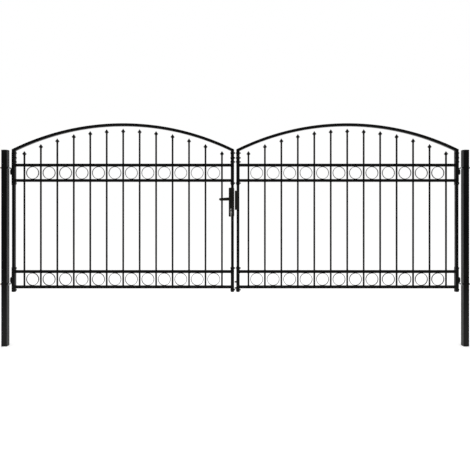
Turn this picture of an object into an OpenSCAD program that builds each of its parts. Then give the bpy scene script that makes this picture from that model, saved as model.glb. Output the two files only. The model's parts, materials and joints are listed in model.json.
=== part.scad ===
// Double-leaf arched garden gate of square steel tube with ring bands and spear-topped bars.
// The origin is the centre of the left post's foot, X runs along the gate, Y goes away from
// the front and Z is up. Sizes are millimetres.

/* [Posts] */
// Side of the square post tube
post_width = 50; // [40:1:80]
// Wall of the post tube
post_wall = 2; // [1.5:0.5:4]
// Height of the post tube below its cap
post_height = 1740; // [1650:5:1900]
// Height of the cap above the tube
cap_lip = 10; // [6:1:20]
// Depth of the cap's stem inside the tube
cap_stem = 25; // [10:1:60]
// Rise of the domed top of the cap
cap_dome = 4; // [2:0.5:5]

/* [Leaf frame] */
// Height of the leaf's feet above the post's foot
leaf_lift = 480; // [300:5:600]
// Height of a leaf from its feet to the top of the arch
leaf_height = 1505; // [1350:1:1700]
// Rise of the arch between the stiles and the crown
arch_rise = 226; // [120:1:300]
// Side of the square tube of stiles, rails and arch
tube_width = 25; // [20:1:28]
// Wall of the square tube
tube_wall = 1.5; // [1:0.1:3]
// Wall of the sleeves that join the stiles to the ring bands
sleeve_wall = 2; // [1.5:0.1:3]
// Length of a sleeve past the inner rail of its band
sleeve_reach = 40; // [25:1:80]
// Gap between the two meeting stiles
meeting_gap = 24.5; // [23:0.5:40]
// Height of the plug under a stile
foot_lip = 10; // [6:1:16]
// Depth of the plug's stem inside the stile
foot_stem = 20; // [10:1:50]
// Fall of the domed underside of the plug
foot_dome = 5; // [2:0.5:5.5]

/* [Ring bands] */
// Drop from the end of the arch to the top rail
top_rail_drop = 134; // [100:1:180]
// Rise from the leaf's feet to the bottom rail
bottom_rail_rise = 46; // [35:1:80]
// Distance between the two rails of a band
band_height = 137; // [115:1:150]
// Thickness of the ring strip
ring_thickness = 4; // [2:0.5:6]
// Width of the ring strip, front to back
ring_depth = 12; // [8:1:18]

/* [Spear bars] */
// Number of bars in a leaf
bar_count = 13; // [7:2:17]
// Distance from bar to bar
bar_pitch = 147; // [140:1:170]
// Distance from a stile to the bar next to it
end_bar_gap = 93.5; // [60:0.5:130]
// Outside diameter of a bar
bar_diameter = 16; // [10:0.5:18]
// Wall of the bar tube
bar_wall = 1.5; // [1:0.1:3]
// Clear height between the arch and the tip of the middle spear
tip_gap = 20; // [10:1:60]
// Further drop of the outermost tips
end_tip_drop = 17; // [0:1:40]
// Width of a spear head
spear_width = 38; // [26:1:50]
// Length of a spear head from its widest place to the tip
spear_point = 28; // [16:1:45]
// Length of a spear head from its foot to its widest place
spear_skirt = 11; // [7:1:20]
// Depth of the socket that takes the bar
spear_socket = 8; // [4:1:12]

/* [Hinges] */
// Diameter of the bent hinge bolt
pin_diameter = 12; // [10:0.5:14]
// Centreline radius of the bolt's bend
bend_radius = 14; // [10:0.5:18]
// Distance from the pin to the inner face of the post
pin_to_post = 27; // [25:0.5:40]
// Length of the hinge eye along the pin
eye_length = 42; // [30:1:60]
// Wall of the hinge eye
eye_wall = 3.5; // [3:0.5:7]
// Growth of the eye at each end, from the pin to the sleeve
eye_flare = 8; // [0:0.5:10]
// Gap between the bend and the eye along the pin
eye_seat_gap = 2.5; // [0.3:0.1:4]
// Length of pin that shows past the eye
pin_tip = 4; // [2:0.5:10]
// Drop from the top rail to the upper bolt
upper_hinge_drop = 24; // [10:1:60]
// Rise from the bottom rail to the lower bolt
lower_hinge_rise = 25; // [10:1:60]
// Length of bolt past the outer face of the post
rod_tail = 35; // [25:1:60]
// Width of a hinge nut across its flats
nut_width = 19; // [17:0.5:24]
// Height of the nut outside the post
nut_height = 10; // [6:0.5:12]
// Height of the thin nut inside the post
thin_nut_height = 6; // [4:0.5:7]
// Diameter of the washer outside the post
washer_width = 26; // [22:1:34]
// Thickness of the washer
washer_thickness = 2.5; // [1.5:0.5:4]

/* [Lock] */
// Clear height between the upper sleeve and the long plate
lock_gap = 24; // [15:1:150]
// Height of the long plate above the spindle
plate_above = 100; // [70:1:140]
// Depth of the long plate below the spindle
plate_below = 159; // [130:1:200]
// Lap of the long plate past the lock case
plate_lap = 0.5; // [0:0.5:6]
// Thickness of the long plate at its border
plate_thickness = 2; // [1.5:0.5:4]
// Further thickness of the plate's raised field
plate_raise = 1.5; // [0.5:0.5:3]
// Width of the plate's flat border
plate_border = 4; // [2:0.5:8]
// Corner radius of the long plate
plate_corner = 9; // [5:0.5:14]
// Margin of the lock case inside the long plate, at its top and foot
case_margin = 9; // [4:1:20]
// Clear width inside the lock case, beside the stile
lock_chamber = 16; // [15:0.5:24]
// Depth of the lock case, front to back
case_depth = 32; // [30:1:44]
// Wall of the lock case
case_wall = 1.7; // [1:0.1:3]
// Distance from the face strip back to the spindle and the key cylinder
lock_backset = 30; // [27:0.5:36]
// Thickness of the lock's face strip
strip_thickness = 1.5; // [1:0.5:3]
// Width of the lock's face strip
strip_width = 20; // [16:1:24]
// Drop from the spindle to the key cylinder
cylinder_drop = 92; // [80:1:110]
// Diameter of the key cylinder's round part
cylinder_diameter = 17; // [15:0.5:18]
// Height of the key cylinder
cylinder_height = 33; // [28:0.5:36]
// Width of the key cylinder's lower part
cylinder_tail_width = 10; // [8:0.5:12]
// Length of the key cylinder past each plate
cylinder_proud = 3; // [1:0.5:6]

/* [Lever] */
// Length of a lever from the spindle to its tip
lever_length = 104; // [85:1:140]
// Height of a lever at its hub
lever_height = 26; // [20:0.5:30]
// Height of a lever at its tip
lever_tip_height = 20; // [12:0.5:24]
// Droop of the lever's tip
lever_droop = 5; // [0:0.5:10]
// Thickness of a lever, front to back
lever_thickness = 12; // [8:0.5:16]
// Reach of a lever out from the long plate
lever_reach = 40; // [30:1:60]
// Diameter of the lever's hub
hub_diameter = 22; // [18:0.5:24]
// Diameter of the collar where the hub meets the plate
collar_diameter = 28; // [24:0.5:32]
// Height of that collar
collar_height = 6; // [3:0.5:10]
// Side of the square spindle
spindle_width = 8; // [6:0.5:9]

/* [Keeper and rod guides] */
// Height of the keeper above the spindle
keeper_above = 73; // [50:1:100]
// Depth of the keeper below the spindle
keeper_below = 98; // [80:1:120]
// Thickness of the keeper's sheet
keeper_sheet = 3; // [2:0.5:4]
// Length of the keeper's flanges over the stile's faces
keeper_lap = 16; // [5:0.5:18]
// Gap between the lock's face strip and the keeper
latch_gap = 5; // [5:0.5:8]
// Rise from the spindle to the middle of the latch
latch_rise = 30; // [20:1:40]
// Height of the latch
latch_height = 24; // [16:1:30]
// Drop from the spindle to the middle of the dead bolt
bolt_drop = 62; // [50:1:70]
// Height of the dead bolt
bolt_height = 34; // [24:1:40]
// Thickness of latch and dead bolt
bolt_thickness = 11; // [8:0.5:13]
// Rise from the bottom rail to the upper rod guide
guide_rise = 45; // [35:1:60]
// Drop from the bottom rail to the lower rod guide
guide_drop = 10; // [0:1:20]
// Height of a rod guide
guide_height = 11; // [8:0.5:16]
// Depth of a rod guide, front to back
guide_depth = 22; // [18:1:30]
// Diameter of the hole for a drop rod
guide_bore = 10; // [8:0.5:11]
// Gap between the rod guides and the other leaf
guide_gap = 5; // [5:0.5:8]

/* [Hidden] */
// Clearance between a stile and the sleeve round it
sleeve_clearance = 0.5;
// Clearance round a bar in its punched hole and in its spear head
bar_clearance = 0.15;
// Clearance between a ring and a rail, and at coped ends
weld_clearance = 0.1;
// Clearance of a plug's stem in its tube
plug_clearance = 0.2;
// Clearance round the hinge pin in its eye
pin_clearance = 0.15;
// Clearance round the hinge bolt in the post and its nuts
rod_clearance = 0.2;
// Clearance of lock pieces in their cut-outs
lock_clearance = 0.3;
// Clearance between a lever and its long plate
lever_clearance = 0.4;
// Overrun of every cut past the faces that it opens
overrun = 2;
// Chamfer at the ends of the hinge bolts
bolt_chamfer = 1.2;
// Length of the straight foot of a spear head
spear_foot = 3;
// Wall of a spear head round its socket
spear_foot_wall = 1.6;
// Width of the web between a hinge eye and its sleeve
eye_web = 13;
// Slots in the keeper are larger than the bolts by this much at each side
slot_room = 2;
// Hollow of a spear head's flanks, where one is a straight flank
spear_hollow_share = 1.1;
// Steps of a spear head's curved flank
spear_steps = 6;
// Facets of the large arcs
arc_facets = 256;
$fn = 64;

// Colours of the finishes
coat_colour = "#1b1c1e";
plastic_colour = "#121212";
zinc_colour = "#b9bdc1";
nickel_colour = "#cbc8c0";

// Frame of a leaf: x is zero at the hinge stile and grows towards the meeting stile
tube_inside = tube_width - 2 * tube_wall;
sleeve_inside = tube_width + 2 * sleeve_clearance;
sleeve_width = sleeve_inside + 2 * sleeve_wall;
bar_run = (bar_count - 1) * bar_pitch;
stile_span = bar_run + 2 * end_bar_gap;
leaf_middle = stile_span / 2;
bar_places = [for (i = [0 : bar_count - 1]) end_bar_gap + i * bar_pitch];
ring_places = [for (i = [0 : bar_count - 2]) end_bar_gap + (i + 0.5) * bar_pitch];

// Arch: a circle through the ends and the crown
arch_half_span = leaf_middle;
arch_radius = (arch_half_span * arch_half_span + arch_rise * arch_rise) / (2 * arch_rise);
crown_z = leaf_lift + leaf_height - tube_width / 2;
arch_centre_z = crown_z - arch_radius;
arch_end_z = crown_z - arch_rise;
function arch_z(x) = arch_centre_z + sqrt(pow(arch_radius, 2) - pow(x - leaf_middle, 2));
function off_middle_share(x) = (x - leaf_middle) / (bar_run / 2);

// Heights of the rails
top_rail_z = arch_end_z - top_rail_drop;
upper_inner_rail_z = top_rail_z - band_height;
bottom_rail_z = leaf_lift + bottom_rail_rise;
lower_inner_rail_z = bottom_rail_z + band_height;
rail_start = sleeve_width / 2;
rail_end = stile_span - sleeve_width / 2;
stile_foot_z = leaf_lift + foot_lip;
upper_sleeve_foot_z = upper_inner_rail_z - sleeve_reach;
lower_sleeve_top_z = lower_inner_rail_z + sleeve_reach;
ring_diameter = band_height - tube_width - 2 * weld_clearance;

// Heights of the spears
spear_height = spear_point + spear_skirt;
bar_foot_z = bottom_rail_z - tube_inside / 2;
function tip_z(x) = arch_z(x) - tube_width / 2 - tip_gap - end_tip_drop * pow(off_middle_share(x), 2);
function bar_top_z(x) = tip_z(x) - spear_height + spear_socket;

// Hinges, with the pin on the leaf's middle plane
eye_bore = pin_diameter + 2 * pin_clearance;
eye_diameter = eye_bore + 2 * eye_wall;
pin_to_sleeve = eye_diameter / 2;
pin_to_stile = pin_to_sleeve + sleeve_width / 2;
rod_bore = pin_diameter + 2 * rod_clearance;
upper_hinge_z = top_rail_z - upper_hinge_drop;
lower_hinge_z = bottom_rail_z + lower_hinge_rise;
eye_start = bend_radius + eye_seat_gap;
eye_reach = pin_to_sleeve + overrun;
function eye_half(x) = eye_length / 2 + eye_flare * x / pin_to_sleeve;

// Places along the whole gate
left_pin_x = post_width / 2 + pin_to_post;
left_stile_x = left_pin_x + pin_to_stile;
meeting_pitch = meeting_gap + tube_width;
right_stile_x = left_stile_x + 2 * stile_span + meeting_pitch;
right_post_x = right_stile_x + left_stile_x;

// Lock, in the left leaf's frame, measured from the meeting stile
spindle_z = upper_sleeve_foot_z - lock_gap - plate_above;
case_nose = sleeve_inside / 2 + case_wall;
case_width = sleeve_inside + lock_chamber + 3 * case_wall;
case_x = stile_span + case_nose - case_width;
case_top_z = spindle_z + plate_above - case_margin;
case_foot_z = spindle_z - plate_below + case_margin;
strip_face_x = stile_span + case_nose + strip_thickness;
spindle_x = strip_face_x - lock_backset;
plate_width = case_width + strip_thickness + plate_lap;
plate_x = strip_face_x - plate_width;
plate_face = case_depth / 2 + plate_thickness + plate_raise;
spindle_hole = spindle_width * sqrt(2) + 2 * lock_clearance;
cylinder_z = spindle_z - cylinder_drop;
cylinder_half_length = plate_face + cylinder_proud;
hub_start = plate_face + lever_clearance;
hub_end = plate_face + lever_reach;
lever_tip_radius = lever_tip_height / 2;
spindle_half_length = hub_end - lever_thickness / 2;

// Places of latch and dead bolt, as height of the middle and height of the piece
bolt_rows = [
    [spindle_z + latch_rise, latch_height],
    [spindle_z - bolt_drop, bolt_height]
];

// Keeper and rod guides, in the right leaf's frame, where x grows towards the left leaf
keeper_face_x = stile_span + meeting_pitch - (strip_face_x - stile_span) - latch_gap;
keeper_half_depth = tube_width / 2 + keeper_sheet;
guide_end_x = stile_span + meeting_pitch - sleeve_width / 2 - guide_gap;
guide_start_x = stile_span + sleeve_width / 2;
guide_bore_x = (guide_start_x + guide_end_x) / 2;

// Places a piece that is drawn in the leaf frame on the left leaf
module on_left() {
    translate([left_stile_x, 0, 0])
        children();
}

// Places a piece that is drawn in the leaf frame on the right leaf
module on_right() {
    translate([right_stile_x, 0, 0])
        mirror([1, 0, 0])
            children();
}

// Places a piece that is drawn at the left post on the right post
module on_right_post() {
    translate([right_post_x, 0, 0])
        mirror([1, 0, 0])
            children();
}

// Draws an outline of the gate's face and makes it a slab between two depths
module face_slab(front, back) {
    translate([0, back, 0])
        rotate([90, 0, 0])
            linear_extrude(height = back - front)
                children();
}

// Block between two corners
module block(low, high) {
    translate(low)
        cube(high - low);
}

// Upright block of square section on the z axis
module upright(width, foot, top) {
    block([-width / 2, -width / 2, foot], [width / 2, width / 2, top]);
}

// Upright square tube, open at both ends
module upright_tube(width, inside, foot, top) {
    difference() {
        upright(width, foot, top);
        upright(inside, foot - overrun, top + overrun);
    }
}

// Lying block of square section along x
module lying(width, start, end) {
    block([start, -width / 2, -width / 2], [end, width / 2, width / 2]);
}

// Rectangle with round corners, centred
module round_rectangle(width, height, corner) {
    square([width - 2 * corner, height], center = true);
    square([width, height - 2 * corner], center = true);
    for (x = [-1, 1], y = [-1, 1])
        translate([x * (width / 2 - corner), y * (height / 2 - corner)])
            circle(r = corner);
}

// Plug with a square stem and a domed lip, whose lip hangs under z = 0
module domed_plug(width, lip, dome, stem_width, stem) {
    half_diagonal = width / sqrt(2);
    dome_radius = (pow(half_diagonal, 2) + pow(dome, 2)) / (2 * dome);
    intersection() {
        upright(width, -lip, 0);
        translate([0, 0, dome_radius - lip])
            sphere(r = dome_radius, $fn = arc_facets);
    }
    upright(stem_width, -dome, stem);
}

// Post tube with the holes for the two hinge bolts
module post() {
    color(coat_colour)
        difference() {
            upright_tube(post_width, post_width - 2 * post_wall, 0, post_height);
            for (z = [upper_hinge_z, lower_hinge_z])
                translate([-post_width / 2 - overrun, 0, z])
                    rotate([0, 90, 0])
                        cylinder(d = rod_bore, h = post_width + 2 * overrun);
        }
}

// Domed cap on a post
module post_cap() {
    stem_width = post_width - 2 * post_wall - 2 * plug_clearance;
    color(plastic_colour)
        translate([0, 0, post_height])
            mirror([0, 0, 1])
                domed_plug(post_width, cap_lip, cap_dome, stem_width, cap_stem);
}

// Hinge bolt: a rod through the post, bent down into the pin
module hinge_bolt() {
    rod_length = left_pin_x + post_width / 2 + rod_tail;
    pin_length = eye_start + eye_length + pin_tip;
    radius = pin_diameter / 2;
    translate([-rod_length, 0, 0])
        rotate([0, 90, 0]) {
            cylinder(r1 = radius - bolt_chamfer, r2 = radius, h = bolt_chamfer);
            translate([0, 0, bolt_chamfer])
                cylinder(r = radius, h = rod_length - bolt_chamfer - bend_radius);
        }
    translate([-bend_radius, 0, -bend_radius])
        rotate([90, 0, 0])
            rotate_extrude(angle = 90)
                translate([bend_radius, 0])
                    circle(r = radius);
    translate([0, 0, -pin_length]) {
        cylinder(r1 = radius - bolt_chamfer, r2 = radius, h = bolt_chamfer);
        translate([0, 0, bolt_chamfer])
            cylinder(r = radius, h = pin_length - bolt_chamfer - bend_radius);
    }
}

// Upper hinge bolt, with its pin pointing down
module upper_hinge_bolt() {
    color(zinc_colour)
        translate([left_pin_x, 0, upper_hinge_z])
            hinge_bolt();
}

// Lower hinge bolt, with its pin pointing up
module lower_hinge_bolt() {
    color(zinc_colour)
        translate([left_pin_x, 0, lower_hinge_z])
            mirror([0, 0, 1])
                hinge_bolt();
}

// Hexagon nut along x that starts at the given place
module nut(start, height) {
    translate([start, 0, 0])
        rotate([0, 90, 0])
            difference() {
                cylinder(d = nut_width / cos(30), h = height, $fn = 6);
                translate([0, 0, -overrun])
                    cylinder(d = rod_bore, h = height + 2 * overrun);
            }
}

// Flat washer along x that starts at the given place
module washer(start) {
    translate([start, 0, 0])
        rotate([0, 90, 0])
            difference() {
                cylinder(d = washer_width, h = washer_thickness);
                translate([0, 0, -overrun])
                    cylinder(d = rod_bore, h = washer_thickness + 2 * overrun);
            }
}

// Nuts and washers of the two hinge bolts of a post
module hinge_nuts() {
    outer_face = -post_width / 2 - washer_thickness;
    color(zinc_colour)
        for (z = [upper_hinge_z, lower_hinge_z])
            translate([0, 0, z]) {
                nut(post_width / 2, thin_nut_height);
                washer(outer_face);
                nut(outer_face - nut_height, nut_height);
            }
}

// Space under the arch's tube, for coped ends
module under_arch() {
    translate([leaf_middle, 0, arch_centre_z])
        rotate([90, 0, 0])
            cylinder(
                r = arch_radius - tube_width / 2 - weld_clearance,
                h = sleeve_width + 2 * overrun,
                center = true,
                $fn = arc_facets
            );
}

// Stile tube at the given place of a leaf, coped to the arch
module stile(x) {
    color(coat_colour)
        intersection() {
            translate([x, 0, 0])
                upright_tube(tube_width, tube_inside, stile_foot_z, crown_z);
            under_arch();
        }
}

// The four sleeves of a leaf
module sleeves() {
    color(coat_colour)
        for (x = [0, stile_span]) {
            intersection() {
                translate([x, 0, 0])
                    upright_tube(sleeve_width, sleeve_inside, upper_sleeve_foot_z, crown_z);
                under_arch();
            }
            translate([x, 0, 0])
                upright_tube(sleeve_width, sleeve_inside, stile_foot_z, lower_sleeve_top_z);
        }
}

// Plugs under the two stiles of a leaf
module foot_plugs() {
    color(plastic_colour)
        for (x = [0, stile_span])
            translate([x, 0, stile_foot_z])
                domed_plug(sleeve_width, foot_lip, foot_dome, tube_inside - 2 * plug_clearance, foot_stem);
}

// Bent bar of square section on the arch's line, from stile to stile
module arch_bar(width, end_inset) {
    reach = leaf_middle + sleeve_width / 2 - end_inset;
    translate([leaf_middle, 0, arch_centre_z])
        face_slab(-width / 2, width / 2)
            intersection() {
                difference() {
                    circle(r = arch_radius + width / 2, $fn = arc_facets);
                    circle(r = arch_radius - width / 2, $fn = arc_facets);
                }
                translate([-reach, 0])
                    square([2 * reach, arch_radius + width]);
            }
}

// Arch tube of a leaf, closed at its ends
module arch() {
    color(coat_colour)
        difference() {
            arch_bar(tube_width, 0);
            arch_bar(tube_inside, tube_wall);
        }
}

// Rail tube with punched holes that reach down from its top to the given depth
module rail(z, hole_depth) {
    translate([0, 0, z])
        difference() {
            lying(tube_width, rail_start, rail_end);
            lying(tube_inside, rail_start - overrun, rail_end + overrun);
            for (x = bar_places)
                translate([x, 0, tube_width / 2 - hole_depth])
                    cylinder(d = bar_diameter + 2 * bar_clearance, h = hole_depth + overrun);
        }
}

// Rails of the upper ring band, which the bars pass through
module upper_rails() {
    color(coat_colour)
        for (z = [top_rail_z, upper_inner_rail_z])
            rail(z, tube_width + overrun);
}

// Rails of the lower ring band, where the bars stand in the bottom rail
module lower_rails() {
    color(coat_colour) {
        rail(lower_inner_rail_z, tube_width + overrun);
        rail(bottom_rail_z, tube_width / 2);
    }
}

// Bars of a leaf, from the bottom rail up into their spear heads
module bars() {
    color(coat_colour)
        for (x = bar_places)
            translate([x, 0, bar_foot_z]) {
                length = bar_top_z(x) - bar_foot_z;
                difference() {
                    cylinder(d = bar_diameter, h = length);
                    translate([0, 0, -overrun])
                        cylinder(d = bar_diameter - 2 * bar_wall, h = length + 2 * overrun);
                }
            }
}

// Spear head with a socket, standing on z = 0
module spear() {
    socket_radius = bar_diameter / 2 + bar_clearance;
    foot_radius = socket_radius + spear_foot_wall;
    flank = [
        for (i = [0 : spear_steps])
            let (rise_share = i / spear_steps)
            [
                spear_width / 2 * pow(1 - rise_share, spear_hollow_share),
                spear_skirt + spear_point * rise_share
            ]
    ];
    rotate_extrude()
        polygon(concat(
            [[0, spear_socket], [socket_radius, spear_socket], [socket_radius, 0]],
            [[foot_radius, 0], [foot_radius, spear_foot]],
            flank
        ));
}

// Spear heads of a leaf, following the arch
module spears() {
    color(coat_colour)
        for (x = bar_places)
            translate([x, 0, tip_z(x) - spear_height])
                spear();
}

// Rings of one band, between the bars
module rings(band_foot_z) {
    color(coat_colour)
        for (x = ring_places)
            translate([x, 0, band_foot_z + band_height / 2])
                face_slab(-ring_depth / 2, ring_depth / 2)
                    difference() {
                        circle(d = ring_diameter);
                        circle(d = ring_diameter - 2 * ring_thickness);
                    }
}

// Hinge eye with its web, hanging under z = 0 on the pin's axis and growing towards the sleeve
module hinge_eye() {
    half_height = eye_half(eye_reach);
    translate([0, 0, -eye_start - eye_length / 2])
        difference() {
            intersection() {
                union() {
                    cylinder(d = eye_diameter, h = 2 * half_height, center = true);
                    block([0, -eye_web / 2, -half_height], [pin_to_sleeve, eye_web / 2, half_height]);
                }
                face_slab(-eye_diameter, eye_diameter)
                    polygon([
                        [-eye_reach, -eye_half(-eye_reach)],
                        [eye_reach, -eye_half(eye_reach)],
                        [eye_reach, eye_half(eye_reach)],
                        [-eye_reach, eye_half(-eye_reach)]
                    ]);
            }
            cylinder(d = eye_bore, h = 2 * half_height + overrun, center = true);
        }
}

// Both hinge eyes of a leaf
module hinge_eyes() {
    color(coat_colour)
        translate([-pin_to_stile, 0, 0]) {
            translate([0, 0, upper_hinge_z])
                hinge_eye();
            translate([0, 0, lower_hinge_z])
                mirror([0, 0, 1])
                    hinge_eye();
        }
}

// Outline of the key cylinder, grown by the given clearance
module cylinder_outline(clearance) {
    tail_drop = cylinder_height - cylinder_diameter / 2 - cylinder_tail_width / 2;
    tail_width = cylinder_tail_width + 2 * clearance;
    translate([spindle_x, cylinder_z]) {
        circle(d = cylinder_diameter + 2 * clearance);
        translate([-tail_width / 2, -tail_drop])
            square([tail_width, tail_drop]);
        translate([0, -tail_drop])
            circle(d = tail_width);
    }
}

// Holes for the spindle and the key cylinder, right through the lock
module lock_holes() {
    face_slab(-cylinder_half_length - overrun, cylinder_half_length + overrun) {
        translate([spindle_x, spindle_z])
            circle(d = spindle_hole);
        cylinder_outline(lock_clearance);
    }
}

// Meeting stile of the left leaf, cut out for the spindle and the key cylinder
module lock_stile() {
    difference() {
        stile(stile_span);
        lock_holes();
    }
}

// Lock case: a hollow box beside the stile, with a channel for the stile
module lock_case_body() {
    half_depth = case_depth / 2;
    hollow_x = case_x + case_wall;
    difference() {
        block([case_x, -half_depth, case_foot_z], [case_x + case_width, half_depth, case_top_z]);
        translate([stile_span, 0, 0])
            upright(sleeve_inside, case_foot_z - overrun, case_top_z + overrun);
        block(
            [hollow_x, case_wall - half_depth, case_foot_z + case_wall],
            [hollow_x + lock_chamber, half_depth - case_wall, case_top_z - case_wall]
        );
        lock_holes();
    }
}

// Outline of the long plate, drawn in by the given inset
module plate_outline(inset) {
    height = plate_above + plate_below;
    translate([plate_x + plate_width / 2, spindle_z + (plate_above - plate_below) / 2])
        round_rectangle(plate_width - 2 * inset, height - 2 * inset, plate_corner - inset);
}

// Long plate on the front of the lock
module lock_plate() {
    back = -case_depth / 2;
    difference() {
        union() {
            face_slab(back - plate_thickness, back)
                plate_outline(0);
            face_slab(-plate_face, back - plate_thickness)
                plate_outline(plate_border);
        }
        lock_holes();
    }
}

// Ends of latch and dead bolt, grown by the given room, between two places along x
module bolt_ends(start, end, room) {
    half_thickness = bolt_thickness / 2 + room;
    for (row = bolt_rows)
        block(
            [start, -half_thickness, row[0] - row[1] / 2 - room],
            [end, half_thickness, row[0] + row[1] / 2 + room]
        );
}

// Face strip of the lock, in the gap between the leaves
module lock_strip_body() {
    strip_x = stile_span + case_nose;
    difference() {
        block([strip_x, -strip_width / 2, case_foot_z], [strip_face_x, strip_width / 2, case_top_z]);
        bolt_ends(strip_x - overrun, strip_face_x + overrun, lock_clearance);
    }
}

// Key cylinder, through the whole lock
module key_cylinder_body() {
    face_slab(-cylinder_half_length, cylinder_half_length)
        cylinder_outline(0);
}

// Lever on the front of the lock, with the square socket for the spindle
module lever() {
    tip_x = lever_tip_radius - lever_length;
    difference() {
        translate([spindle_x, 0, spindle_z]) {
            face_slab(-hub_start - collar_height, -hub_start)
                circle(d = collar_diameter);
            face_slab(-hub_end, -hub_start - collar_height)
                circle(d = hub_diameter);
            face_slab(-hub_end, lever_thickness - hub_end) {
                circle(d = lever_height);
                polygon([
                    [0, lever_height / 2],
                    [tip_x, lever_tip_radius - lever_droop],
                    [tip_x, -lever_tip_radius - lever_droop],
                    [0, -lever_height / 2]
                ]);
                translate([tip_x, -lever_droop])
                    circle(r = lever_tip_radius);
            }
        }
        spindle_bar(spindle_width + 2 * lock_clearance, spindle_half_length + lock_clearance);
    }
}

// Square bar on the spindle's axis
module spindle_bar(width, half_length) {
    translate([spindle_x, 0, spindle_z])
        block([-width / 2, -half_length, -width / 2], [width / 2, half_length, width / 2]);
}

// Keeper: a channel of bent sheet on the meeting stile, with slots for latch and dead bolt
module keeper_body() {
    foot_z = spindle_z - keeper_below;
    top_z = spindle_z + keeper_above;
    stile_face_x = stile_span + tube_width / 2;
    inner_x = keeper_face_x - keeper_sheet;
    difference() {
        block(
            [stile_face_x - keeper_lap, -keeper_half_depth, foot_z],
            [keeper_face_x, keeper_half_depth, top_z]
        );
        block(
            [stile_face_x - keeper_lap - overrun, -tube_width / 2, foot_z - overrun],
            [inner_x, tube_width / 2, top_z + overrun]
        );
        bolt_ends(inner_x - overrun, keeper_face_x + overrun, slot_room);
    }
}

// Rod guides: two lugs on the meeting stile's sleeve, bored for a drop rod
module rod_guide_pair() {
    for (z = [bottom_rail_z + guide_rise, bottom_rail_z - guide_drop])
        difference() {
            block(
                [guide_start_x, -guide_depth / 2, z - guide_height / 2],
                [guide_end_x, guide_depth / 2, z + guide_height / 2]
            );
            translate([guide_bore_x, 0, z - guide_height / 2 - overrun])
                cylinder(d = guide_bore, h = guide_height + 2 * overrun);
        }
}

// Posts and hinge bolts
module left_post() { post(); }
module right_post() { on_right_post() post(); }
module left_post_cap() { post_cap(); }
module right_post_cap() { on_right_post() post_cap(); }
module left_upper_hinge_bolt() { upper_hinge_bolt(); }
module left_lower_hinge_bolt() { lower_hinge_bolt(); }
module right_upper_hinge_bolt() { on_right_post() upper_hinge_bolt(); }
module right_lower_hinge_bolt() { on_right_post() lower_hinge_bolt(); }
module left_hinge_nuts() { hinge_nuts(); }
module right_hinge_nuts() { on_right_post() hinge_nuts(); }

// Left leaf
module left_hinge_stile() { on_left() stile(0); }
module left_meeting_stile() { on_left() lock_stile(); }
module left_sleeves() { on_left() sleeves(); }
module left_foot_plugs() { on_left() foot_plugs(); }
module left_arch() { on_left() arch(); }
module left_upper_rails() { on_left() upper_rails(); }
module left_lower_rails() { on_left() lower_rails(); }
module left_bars() { on_left() bars(); }
module left_spears() { on_left() spears(); }
module left_upper_rings() { on_left() rings(upper_inner_rail_z); }
module left_lower_rings() { on_left() rings(bottom_rail_z); }
module left_hinge_eyes() { on_left() hinge_eyes(); }

// Right leaf
module right_hinge_stile() { on_right() stile(0); }
module right_meeting_stile() { on_right() stile(stile_span); }
module right_sleeves() { on_right() sleeves(); }
module right_foot_plugs() { on_right() foot_plugs(); }
module right_arch() { on_right() arch(); }
module right_upper_rails() { on_right() upper_rails(); }
module right_lower_rails() { on_right() lower_rails(); }
module right_bars() { on_right() bars(); }
module right_spears() { on_right() spears(); }
module right_upper_rings() { on_right() rings(upper_inner_rail_z); }
module right_lower_rings() { on_right() rings(bottom_rail_z); }
module right_hinge_eyes() { on_right() hinge_eyes(); }

// Lock, lever, keeper and rod guides
module lock_case() { color(coat_colour) on_left() lock_case_body(); }
module front_lock_plate() { color(coat_colour) on_left() lock_plate(); }
module back_lock_plate() { color(coat_colour) on_left() mirror([0, 1, 0]) lock_plate(); }
module lock_strip() { color(nickel_colour) on_left() lock_strip_body(); }
module lock_bolts() { color(nickel_colour) on_left() bolt_ends(stile_span + case_nose, strip_face_x, 0); }
module key_cylinder() { color(nickel_colour) on_left() key_cylinder_body(); }
module front_lever() { color(coat_colour) on_left() lever(); }
module back_lever() { color(coat_colour) on_left() mirror([0, 1, 0]) lever(); }
module lever_spindle() { color(zinc_colour) on_left() spindle_bar(spindle_width, spindle_half_length); }
module keeper() { color(coat_colour) on_right() keeper_body(); }
module rod_guides() { color(coat_colour) on_right() rod_guide_pair(); }

left_post();
right_post();
left_post_cap();
right_post_cap();
left_upper_hinge_bolt();
left_lower_hinge_bolt();
right_upper_hinge_bolt();
right_lower_hinge_bolt();
left_hinge_nuts();
right_hinge_nuts();
left_hinge_stile();
left_meeting_stile();
left_sleeves();
left_foot_plugs();
left_arch();
left_upper_rails();
left_lower_rails();
left_bars();
left_spears();
left_upper_rings();
left_lower_rings();
left_hinge_eyes();
right_hinge_stile();
right_meeting_stile();
right_sleeves();
right_foot_plugs();
right_arch();
right_upper_rails();
right_lower_rails();
right_bars();
right_spears();
right_upper_rings();
right_lower_rings();
right_hinge_eyes();
lock_case();
front_lock_plate();
back_lock_plate();
lock_strip();
lock_bolts();
key_cylinder();
front_lever();
back_lever();
lever_spindle();
keeper();
rod_guides();
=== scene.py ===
"""Looks of an arched double-leaf garden gate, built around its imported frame.

The gate is black powder-coated steel tube with zinc-plated hinge bolts, a black lock that has a
nickel-plated key cylinder, and black plastic plugs. Lengths are metres. X runs along the gate, Y goes away
from the front and Z is up.
"""

import json
import logging
import math
from collections.abc import Callable, Iterable, Sequence
from dataclasses import dataclass, field
from enum import Enum
from typing import ClassVar

import bpy
from mathutils import Matrix, Vector

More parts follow.
